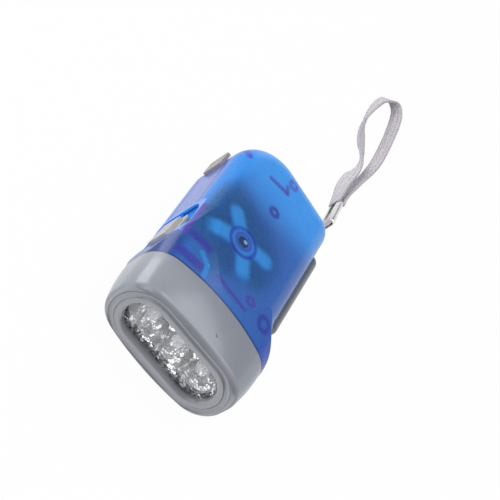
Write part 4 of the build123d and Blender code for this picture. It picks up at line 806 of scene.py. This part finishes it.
# %% Painting the marks
def face_marks(wall, x, y, z, from_hub, colour):
    """Arms, hub, shaft end with a painted highlight, ribs and posts with painted violet
    reflection.
    """
    face = z.fade(*FACE_STARTS)
    arms = 1 - from_hub.fade(*HUB_EDGE)
    for end in ARMS_SHOWN:
        arms = arms.high(1 - from_dash(x, y, HUB_SHOWN, end).fade(*ARM_EDGE))
    arms = arms * (1 - from_hub.fade(*ARM_ENDS))
    colour = wall.mix(arms * face * 0.9, colour, rgb("42a8ff"))
    for middle, clear, soft, code, strength in DISCS:
        mask = 1 - from_point(x, y, middle).fade(clear, soft)
        colour = wall.mix(mask * face * strength, colour, rgb(code))
    # painted reflection: the violet of the ribs, where they thicken the wall
    for start, end, half, soft, code, strength in DASHES:
        mask = 1 - from_dash(x, y, start, end).fade(half, half + soft)
        colour = wall.mix(mask * face * strength, colour, rgb(code))
    # painted reflection: the violet rings of the posts and the bearing's boss, where they thicken
    # the wall
    for middle, radius, half, soft, code, strength in RINGS:
        mask = from_point(x, y, middle).band(radius, half, soft)
        colour = wall.mix(mask * face * strength, colour, rgb(code))
    return colour


# %% [markdown]
# ## The wall with the slides
# Behind the pocket of the lamp slide a flat strip runs to the tail. It faces a lamp, so it is
# painted paler than the rest as light, and its crease above and below carries a painted violet
# reflection. The pocket is painted bright, because light comes round its thin wall, and a violet
# rim and a pale lip are painted light where its corners bend it; a dark line at the slot's edge
# is a painted shadow. They are bands along x and z, because the pocket's edges run along those
# axes.

# %% Slides wall
# Each band: its middle, half width and soft edge in millimetres, along the torch or up
CREASE_OFF_MIDDLE = (7.4, 0.5, 0.9)
POCKET_ALONG = (8.0, 10.2, 0.6)
RIM_ALONG = (9.8, 8.4, 1.4)
RIM_UP = (29.3, 0.5, 1.2)
LIP_ALONG = (2.4, 4.2, 0.8)
LIP_UP = (27.9, 0.3, 0.4)
SLOT_SHADOW_OUT = (24.9, 0.15, 0.2)


def slide_strip(wall, x, y, z, colour):
    """Painted light on the strip behind the pocket, a painted reflection on its creases; the mask
    comes back.
    """
    outward = 0.0 - y
    level = (z - MIDDLE_Z).size()
    behind_pocket = 1 - x.fade(-4.0, -1.0)
    # painted light: the strip is painted paler, as it faces a lamp
    strip = outward.fade(24.9, 26.4) * (1 - level.fade(5.6, 7.0)) * behind_pocket
    colour = wall.mix(strip * 0.85, colour, rgb("6a78c6"))
    # painted reflection: violet on the crease above and below the strip
    crease = outward.fade(22.0, 25.0) * level.band(*CREASE_OFF_MIDDLE) * behind_pocket
    return wall.mix(crease * 0.8, colour, rgb("5a44b4")), strip


def slider_pocket(wall, x, y, z, upper, colour):
    """The pocket painted bright as light; its mask comes back too. Upper half only: painted rim,
    lip and slot shadow.
    """
    outward = 0.0 - y
    # painted light: the pocket is bright where light comes round its thin wall
    pocket = x.band(*POCKET_ALONG) * outward.fade(23.6, 24.0) * (1 - z.fade(28.0, 29.0))
    colour = wall.mix(pocket, colour, rgb("3c9cf8"))
    if upper:
        # painted light: a violet rim and a pale lip where the pocket's corners bend the light
        rim = x.band(*RIM_ALONG) * z.band(*RIM_UP) * outward.fade(23.0, 24.2)
        colour = wall.mix(rim * 0.75, colour, rgb("5a3cb0"))
        lip = x.band(*LIP_ALONG) * z.band(*LIP_UP) * outward.fade(24.0, 24.4)
        colour = wall.mix(lip * 0.8, colour, rgb("b2aaf2"))
        # painted shadow: a dark line at the slot's edge
        slot_shadow = (1 - x.fade(-1.2, -0.8)) * pocket * outward.band(*SLOT_SHADOW_OUT)
        colour = wall.mix(slot_shadow * 0.9, colour, rgb("0b1240"))
    return colour, pocket


# %% Azure wall
SHELL_ENDS = (29.6, 30.5)
SEEN_THROUGH = (0.62, 0.82, 1.0, 1.0)
LEAST_CLEAR = 0.12
CLEAR_AT_HUB = 0.2
CLEAR_REACH = (12.0, 20.0)


def azure_wall(name, upper):
    """The clear blue plastic of one half; the upper half carries the marks seen through it."""
    wall = Finish(name)
    x, y, z = wall.place()
    from_hub = from_point(x, y, HUB_SHOWN)
    grain = wall.noise(420.0, 2.0)
    colour = wall_blue(wall, x, y, z)
    colour = dark_cloud(wall, x, y, from_hub, grain, colour)
    if upper:
        colour = face_marks(wall, x, y, z, from_hub, colour)
    colour, strip = slide_strip(wall, x, y, z, colour)
    colour, pocket = slider_pocket(wall, x, y, z, upper, colour)
    colour = wall.mix(x.fade(*SHELL_ENDS) * 0.8, colour, rgb("142463"))
    clear = (1 - from_hub.fade(*CLEAR_REACH)) * CLEAR_AT_HUB + LEAST_CLEAR
    clear = clear * (1 - strip * 0.8) * (1 - pocket * 0.9)
    inputs = {"Base Color": colour, "Roughness": grain * 0.08 + 0.24, "IOR": 1.5}
    inputs["Specular IOR Level"] = 0.35
    inputs["Coat Weight"] = 0.15
    inputs["Coat Roughness"] = 0.12
    inputs["Normal"] = wall.bump(grain, 0.02, 0.00002)
    skin = wall.surface(inputs)
    through = wall.node("ShaderNodeBsdfTransparent", None, {"Color": SEEN_THROUGH})
    print(name, len(wall.tree.nodes), "nodes")
    return wall.output(wall.blend(clear, skin, through))


dress("upper_shell", azure_wall("azure_upper", True))
dress("lower_shell", azure_wall("azure_lower", False))

# %% [markdown]
# ## Grey head and lever
# Both are satin moulded plastic. A fine grain from the mould breaks up the reflections, and the
# colour drifts a little, as it does where the plastic flowed. A picture of plastic could give
# both, but noise in the object's own space has no seams and stays sharp close up. The rim round
# the window is a shade darker, and one small dark speck sits on the head, as on the real one.
# The lever is the same grey, given darker greys as painted shade, because it is on the side away
# from the lamps.

# %% Satin grey
RIM_STARTS = (46.4, 47.6)
HEAD_SPECK = ((42.2, 4.0), (42.6, 4.7))
SPECK_EDGE = (0.12, 0.4)
SPECK_FACE = (24.0, 26.0)


def satin_grey(name, low, high, speck=None):
    """Smooth grey plastic between two colours; a speck is a dash on the upper side."""
    grey = Finish(name)
    x, y, z = grey.place()
    grain = grey.noise(2600.0, 2.0)
    drift = grey.noise(45.0, 2.0)
    colour = grey.mix(drift.fade(0.3, 0.7), rgb(low), rgb(high))
    colour = grey.mix(x.fade(*RIM_STARTS) * 0.6, colour, rgb("75767c"))
    if speck:
        spot = 1 - from_dash(x, y, *speck).fade(*SPECK_EDGE)
        colour = grey.mix(spot * z.fade(*SPECK_FACE) * 0.7, colour, rgb("3a3230"))
    inputs = {"Base Color": colour, "Roughness": grain * 0.06 + 0.2}
    inputs["Coat Weight"] = 0.12
    inputs["Coat Roughness"] = 0.2
    inputs["Normal"] = grey.bump(grain, 0.06, 0.0001)
    return grey.output(grey.surface(inputs))


dress("head_bezel", satin_grey("satin_head", "9095a0", "9b9fa8", HEAD_SPECK))
# painted shade: the lever is the head's grey, given darker greys because it is on the side away
# from the lamps
dress("squeeze_lever", satin_grey("satin_lever_shaded", "5f6773", "6a717b"))

# %% [markdown]
# ## Thumb slides
# The lamp slide and the lock slide are moulded in a warmer grey, duller than the head, and the
# lock slide's is a little darker. Their grain is coarser, so a thumb finds some grip. It is the
# head's recipe without the rim and the coat, so it has a short function of its own.


# %% Warm grey
def warm_grey(name, low, high):
    """Dull grey plastic between two colours."""
    grey = Finish(name)
    grain = grey.noise(2000.0, 3.0)
    drift = grey.noise(160.0, 1.0)
    colour = grey.mix(drift.fade(0.3, 0.7), rgb(low), rgb(high))
    inputs = {"Base Color": colour, "Roughness": grain * 0.1 + 0.42}
    inputs["Normal"] = grey.bump(grain, 0.1, 0.0001)
    return grey.output(grey.surface(inputs))


dress("lamp_slider", warm_grey("slider_grey", "bab4b1", "c7c2bf"))
dress("lock_slide", warm_grey("lock_grey", "989396", "a4a0a2"))

# %% [markdown]
# ## Window
# The window is a thin clear plate: it hardly tints what is behind it, and reflects more at a low
# angle, which the Fresnel node gives. The share is well below real plastic's, because the floor's
# painted glow in front would lay a milky veil over the mirror.


# %% Window
def clear_plate():
    """Clear plastic that is see-through but for a faint gloss."""
    plate = Finish("clear_plate")
    dust = plate.noise(700.0, 3.0)
    gloss = plate.node("ShaderNodeBsdfGlossy", None, {"Roughness": 0.03})
    through = plate.node("ShaderNodeBsdfTransparent", None, {"Color": (0.97, 0.98, 0.98, 1.0)})
    share = plate.node("ShaderNodeFresnel", None, {"IOR": 1.35}) * 0.35 + dust * 0.01
    return plate.output(plate.blend(share, through, gloss))


dress("lens_window", clear_plate())

# %% [markdown]
# ## Crackled mirror
# The reflector is plated plastic with a bowl for each lamp. Its surface is crackled into small
# facets, so it shows bits of the floor's painted glow and dark gap side by side. A Voronoi
# texture cuts it into cells. In each one the bump's height rises evenly, in a direction that the
# cell's random colour gives, so every cell is a flat facet with a tilt of its own. Each facet is
# also painted lighter or greyer at random, a painted reflection, as if it saw another part of
# the room. The lamps' blurred images in the low walls of the bowls are painted on as rippled
# patches with a dark crescent, because the facets would scatter them.

# %% Mirror
FACETS = 620.0
FINE_CELLS = 1700.0
# Where the low wall of each bowl shows its lamp, across the head and up, in millimetres
LAMP_IMAGES = [(-9.9, 11.8), (1.7, 11.2), (12.6, 10.8)]
IMAGE_EDGE = (2.2, 3.2)
CRESCENT = (3.3, 0.3, 0.4)
# The images fade out towards the bowls' mouths
BOWL_MOUTH = (42.5, 43.5)


def facet_height(mirror, x, y, z, tilt):
    """Height that rises evenly in each cell, along the cell's own direction."""
    middle = mirror.split(mirror.cells(FACETS, out="Position"))
    height = 0.0
    for here, centre, part in zip((x, y, z), middle, tilt):
        height = (here - centre) * (part - 0.5) + height
    return height


def lamp_images(mirror, x, y, z, colour):
    """A rippled patch and a dark crescent for each lamp."""
    ripple = (mirror.noise(380.0, 3.0, 0.6) * 8.0).wave(1.0)
    for lamp_y, lamp_z in LAMP_IMAGES:
        reach = from_point(y, z, (lamp_y, lamp_z))
        image = (1 - reach.fade(*IMAGE_EDGE)) * (1 - x.fade(*BOWL_MOUTH))
        colour = mirror.mix(image * ripple.fade(0.3, 0.9) * 0.75, colour, rgb("8b8794"))
        crescent = reach.band(*CRESCENT) * (1 - (y - lamp_y).fade(-1.5, 0.5))
        colour = mirror.mix(crescent * 0.8, colour, rgb("56545c"))
    return colour


def crackled_mirror():
    """Plated plastic, crackled into facets, with one smooth patch at the slides' end."""
    mirror = Finish("crackled_mirror")
    x, y, z = mirror.place()
    lean = mirror.split(mirror.cells(FACETS, out="Color"), 1.0)
    border = mirror.cells(FACETS, "DISTANCE_TO_EDGE")
    fine = mirror.cells(FINE_CELLS)
    smooth_end = (1 - y.fade(-16.2, -15.6)) * z.fade(9.5, 10.5) * (1 - z.fade(15.5, 17.0))
    height = facet_height(mirror, x, y, z, lean)
    height = (height * 0.75 + fine * 0.2) * (1 - smooth_end)
    # painted reflection: each facet lighter or greyer at random, as if it saw another part of the
    # room
    colour = mirror.mix(lean[0].fade(0.2, 0.9), rgb("ffffff"), rgb("cfccd2"))
    colour = mirror.mix(lean[1].fade(0.8, 1.0) * 0.35, colour, rgb("ece2b4"))
    colour = mirror.mix(1 - border.fade(0.03, 0.13), colour, rgb("8d8a92"))
    colour = lamp_images(mirror, x, y, z, colour)
    colour = mirror.mix(smooth_end * 0.8, colour, rgb("97979d"))
    inputs = {"Base Color": colour, "Metallic": 1.0, "Roughness": lean[2] * 0.08 + 0.06}
    inputs["Normal"] = mirror.bump(height, 1.0, MM)
    return mirror.output(mirror.surface(inputs))


dress("reflector", crackled_mirror())

# %% [markdown]
# ## Lamps
# Each lamp is a bullet of clear epoxy, cast round two flat leads. The wider lead ends in a small
# cup that holds the chip under a drop of yellow paste. The hair-thin wire from the chip to the
# other lead is too fine to see and left out. The epoxy is see-through mixed with a rippled
# gloss, which needs fewer samples than glass and shows the same swirls. The leads, cups and
# drops are new pieces inside it.

# %% Lamp finishes
CLEAR_TINT = (0.95, 0.95, 0.97, 1.0)
MOST_GLOSS = 0.9


def clear_epoxy():
    """See-through, with swirling bright lines and more gloss at a low angle."""
    epoxy = Finish("clear_epoxy")
    lines = (epoxy.noise(420.0, 3.0, 0.65) * 9.0).wave(1.0)
    inputs = {"Base Color": epoxy.mix(lines, rgb("fdfcff"), rgb("c9c6d2")), "Metallic": 1.0}
    inputs["Roughness"] = lines * 0.1 + 0.03
    inputs["Normal"] = epoxy.bump(lines, 0.8, 0.0003)
    gloss = epoxy.surface(inputs)
    through = epoxy.node("ShaderNodeBsdfTransparent", None, {"Color": CLEAR_TINT})
    facing = epoxy.node("ShaderNodeLayerWeight", None, {"Blend": 0.45}, 1)
    share = (facing * 0.5 + lines * 0.45 + 0.1).low(MOST_GLOSS)
    return epoxy.output(epoxy.blend(share, through, gloss))


def plated_leads():
    """Tin-plated steel."""
    leads = Finish("plated_leads")
    streak = leads.noise(500.0, 3.0)
    inputs = {"Base Color": leads.mix(streak, rgb("d8d5d0"), rgb("a9a6a2")), "Metallic": 1.0}
    inputs["Roughness"] = streak * 0.2 + 0.2
    return leads.output(leads.surface(inputs))


def yellow_paste():
    """The paste that turns the chip's blue light white."""
    paste = Finish("yellow_paste")
    grain = paste.noise(3000.0, 2.0)
    colour = paste.mix(grain, rgb("e9d36a"), rgb("d8b93c"))
    return paste.output(paste.surface({"Base Color": colour, "Roughness": 0.5}))


dress("led_lamps", clear_epoxy())

# %% Leads, cups and drops
LAMP_BASE_X = 34.7
LAMP_PITCH = 12.2
LEAD_HALF_THICK = 0.25
WIDE_LEAD_Y = -0.75
WIDE_LEAD_HALF = 0.75
THIN_LEAD_Y = 1.15
THIN_LEAD_HALF = 0.45
CUP_X = 38.6
CUP_Y = -0.4
CUP_DEPTH = 0.8
# The cup's outer and inner walls: radius at the mouth, radius at the bottom
CUP_WALLS = ((0.95, 0.7), (0.8, 0.45))
CUP_SIDES = 20
DROP_R = 0.55
DROP_FLAT = 0.6
ALONG_BEAM = Matrix.Rotation(math.radians(90), 4, "Y")


def lead(shape, end_x, middle_y, half_wide):
    """A flat lead along the beam with softened edges."""
    made = bmesh.ops.create_cube(shape, size=1.0)["verts"]
    size = mm(end_x - LAMP_BASE_X, 2 * half_wide, 2 * LEAD_HALF_THICK)
    bmesh.ops.scale(shape, vec=size, verts=made)
    bmesh.ops.translate(shape, vec=mm((LAMP_BASE_X + end_x) / 2, middle_y, MIDDLE_Z), verts=made)
    edges = list({edge for vert in made for edge in vert.link_edges})
    bmesh.ops.bevel(shape, geom=edges, offset=LEAD_HALF_THICK / 2 * MM, offset_type="OFFSET",
                    segments=2, profile=0.5, affect="EDGES", material=-1)


leads_shape = bmesh.new()
drops_shape = bmesh.new()
for lamp_y in (-LAMP_PITCH, 0.0, LAMP_PITCH):
    lead(leads_shape, CUP_X, lamp_y + WIDE_LEAD_Y, WIDE_LEAD_HALF)
    lead(leads_shape, CUP_X + CUP_DEPTH, lamp_y + THIN_LEAD_Y, THIN_LEAD_HALF)
    cup_middle = mm(CUP_X + CUP_DEPTH / 2, lamp_y + CUP_Y, MIDDLE_Z)
    for mouth_r, bottom_r in CUP_WALLS:
        bmesh.ops.create_cone(leads_shape, cap_ends=False, segments=CUP_SIDES,
                              radius1=bottom_r * MM, radius2=mouth_r * MM, depth=CUP_DEPTH * MM,
                              matrix=Matrix.Translation(cup_middle) @ ALONG_BEAM)
    drop_middle = mm(CUP_X + CUP_DEPTH * 0.4, lamp_y + CUP_Y, MIDDLE_Z)
    flattened = Matrix.Diagonal((DROP_FLAT, 1.0, 1.0, 1.0))
    bmesh.ops.create_uvsphere(drops_shape, u_segments=16, v_segments=10, radius=DROP_R * MM,
                              matrix=Matrix.Translation(drop_middle) @ flattened)
add_piece("lamp_leads", leads_shape, plated_leads())
add_piece("lamp_chips", drops_shape, yellow_paste())

# %% [markdown]
# ## Winding
# The dynamo's coil is enamelled copper wire, wound in layers on its bobbin. Modelling the wire
# as a helix costs too many faces for something so deep inside, so a profile with one bump for
# each turn is spun once round the rotor.

# %% Copper coil
WIRE = 0.32
COIL_DEPTH = 1.5
POINTS_A_TURN = 4
SPIN_STEPS = 72


def coil_turns():
    """A section with a bump for each turn of wire, spun round the rotor's axis."""
    low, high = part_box("coil_winding")
    middle = (low + high) / 2
    outer = (high.x - low.x) / 2
    inner = outer - COIL_DEPTH * MM
    rows = int((high.z - low.z) / (WIRE * MM))
    pitch = (high.z - low.z) / rows
    section = [(inner, low.z)]
    for row in range(rows):
        for k in range(POINTS_A_TURN):
            rise = math.sin(math.pi * k / POINTS_A_TURN) * pitch / 2
            section.append((outer - pitch / 2 + rise, low.z + pitch * (row + k / POINTS_A_TURN)))
    section += [(outer - pitch / 2, high.z), (inner, high.z)]
    shape = bmesh.new()
    verts = [shape.verts.new((middle.x + r, middle.y, z)) for r, z in section]
    edges = [shape.edges.new(pair) for pair in zip(verts, verts[1:] + verts[:1])]
    bmesh.ops.spin(shape, geom=verts + edges, cent=(middle.x, middle.y, 0), axis=(0, 0, 1),
                   angle=math.tau, steps=SPIN_STEPS, use_merge=True)
    print("coil", rows, "rows of wire")
    return shape


def copper_wire():
    """Enamelled copper, with painted shade in the grooves between the turns."""
    copper = Finish("enamelled_copper")
    _, _, z = copper.place()
    # painted shade: darker in the grooves between the turns of wire
    colour = copper.mix(z.wave(WIRE), rgb("6d3213"), rgb("c8743a"))
    inputs = {"Base Color": colour, "Metallic": 0.9, "Roughness": 0.3, "Coat Weight": 0.5}
    return copper.output(copper.surface(inputs))


add_piece("copper_turns", coil_turns(), copper_wire(), "coil_winding")

# %% [markdown]
# ## Inside pieces
# What is left shows dimly through the case: nylon gears, steel pins, the blackened dynamo and
# its bright blue bracket and the button cells. Each finish is a base colour, a second colour for
# its grain or wear, a roughness and a bump. At this depth nothing finer would show, so one
# function makes them all.


# %% Plain finishes
def plain(name, first, second, scale, metallic, roughness, bump=0.1, coat=0.0):
    """A grained finish between two colours."""
    finish = Finish(name)
    grain = finish.noise(scale, 3.0)
    colour = finish.mix(grain.fade(0.25, 0.75), rgb(first), rgb(second))
    inputs = {"Base Color": colour, "Metallic": metallic, "Roughness": grain * 0.12 + roughness}
    inputs["Coat Weight"] = coat
    inputs["Normal"] = finish.bump(grain, bump, 0.0002)
    return finish.output(finish.surface(inputs))


# Each finish: two colours, the grain's scale, metallic, roughness, and bump and coat if any
FINISHES = {
    "natural_nylon": ("d9d8cf", "e9e8e2", 500.0, 0.0, 0.4),
    "ground_steel": ("9a9a9c", "c4c4c6", 900.0, 1.0, 0.25),
    "sintered_ferrite": ("2a2a2d", "3b3b3f", 1500.0, 0.0, 0.6, 0.3),
    "blackened_metal": ("1c2536", "2c3950", 600.0, 0.6, 0.45),
    "bright_blue": ("2f98ff", "46a8ff", 300.0, 0.0, 0.3, 0.05, 0.3),
    "button_cell": ("b6b6b4", "d4d4d2", 1200.0, 1.0, 0.3),
    "shrink_sleeve": ("27425c", "35546f", 400.0, 0.0, 0.4, 0.15, 0.3),
    "moulded_black": ("17181b", "232529", 900.0, 0.0, 0.45),
    "can_sleeve": ("1f2b52", "2b3a68", 700.0, 0.0, 0.35, 0.1, 0.4),
}
INSIDE_PIECES = {
    "natural_nylon": [
        "drive_gear", "idler_gear", "drive_pinion", "rotor_pinion", "ratchet_pawls"],
    "ground_steel": [
        "rotor_shaft", "drive_axle", "idler_axle", "lever_pin", "lever_spring", "case_screws",
        "cell_tabs"],
    "sintered_ferrite": ["rotor_magnet"],
    "blackened_metal": ["flywheel", "stator_lower", "stator_upper"],
    "bright_blue": ["bearing_spider", "gear_bridge"],
    "button_cell": ["coin_cells"],
    "shrink_sleeve": ["cell_sleeve"],
    "moulded_black": ["coil_bobbin", "lamp_switch", "switch_knob", "diode_bridge"],
    "can_sleeve": ["capacitor"],
}
for finish_name, pieces in INSIDE_PIECES.items():
    material = plain(finish_name, *FINISHES[finish_name])
    for piece_name in pieces:
        dress(piece_name, material)

# %% [markdown]
# ## Circuit boards
# The lamp board and the charge board are white laminate with pale green tracks and a few tinned
# pads. Two crossed waves with hard edges make the tracks, and the middles of random cells the
# pads, so no wiring has to be drawn for boards that hardly show.


# %% Circuit boards
def solder_mask():
    """White board with tracks under the lacquer and bare pads."""
    board = Finish("solder_mask")
    _, y, z = board.place()
    mask_grain = board.noise(900.0, 2.0)
    tracks = y.wave(2.4).fade(0.78, 0.86) * z.wave(5.2).fade(0.25, 0.35)
    colour = board.mix(mask_grain, rgb("d5dad2"), rgb("e4e7df"))
    colour = board.mix(tracks * 0.6, colour, rgb("9fb7a0"))
    pads = board.cells(420.0).fade(0.24, 0.18)
    colour = board.mix(pads, colour, rgb("c9c6be"))
    inputs = {"Base Color": colour, "Roughness": 0.4, "Metallic": pads * 0.9}
    inputs["Normal"] = board.bump(tracks + pads, 0.3, 0.0001)
    return board.output(board.surface(inputs))


board_finish = solder_mask()
for board_name in ("lamp_board", "charge_board"):
    dress(board_name, board_finish)

# %% Finish
shown_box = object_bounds()
boxes = {"cad": cad_box, "shown": shown_box}
for name, box in boxes.items():
    print(name, [[round(value / MM, 2) for value in corner] for corner in box])
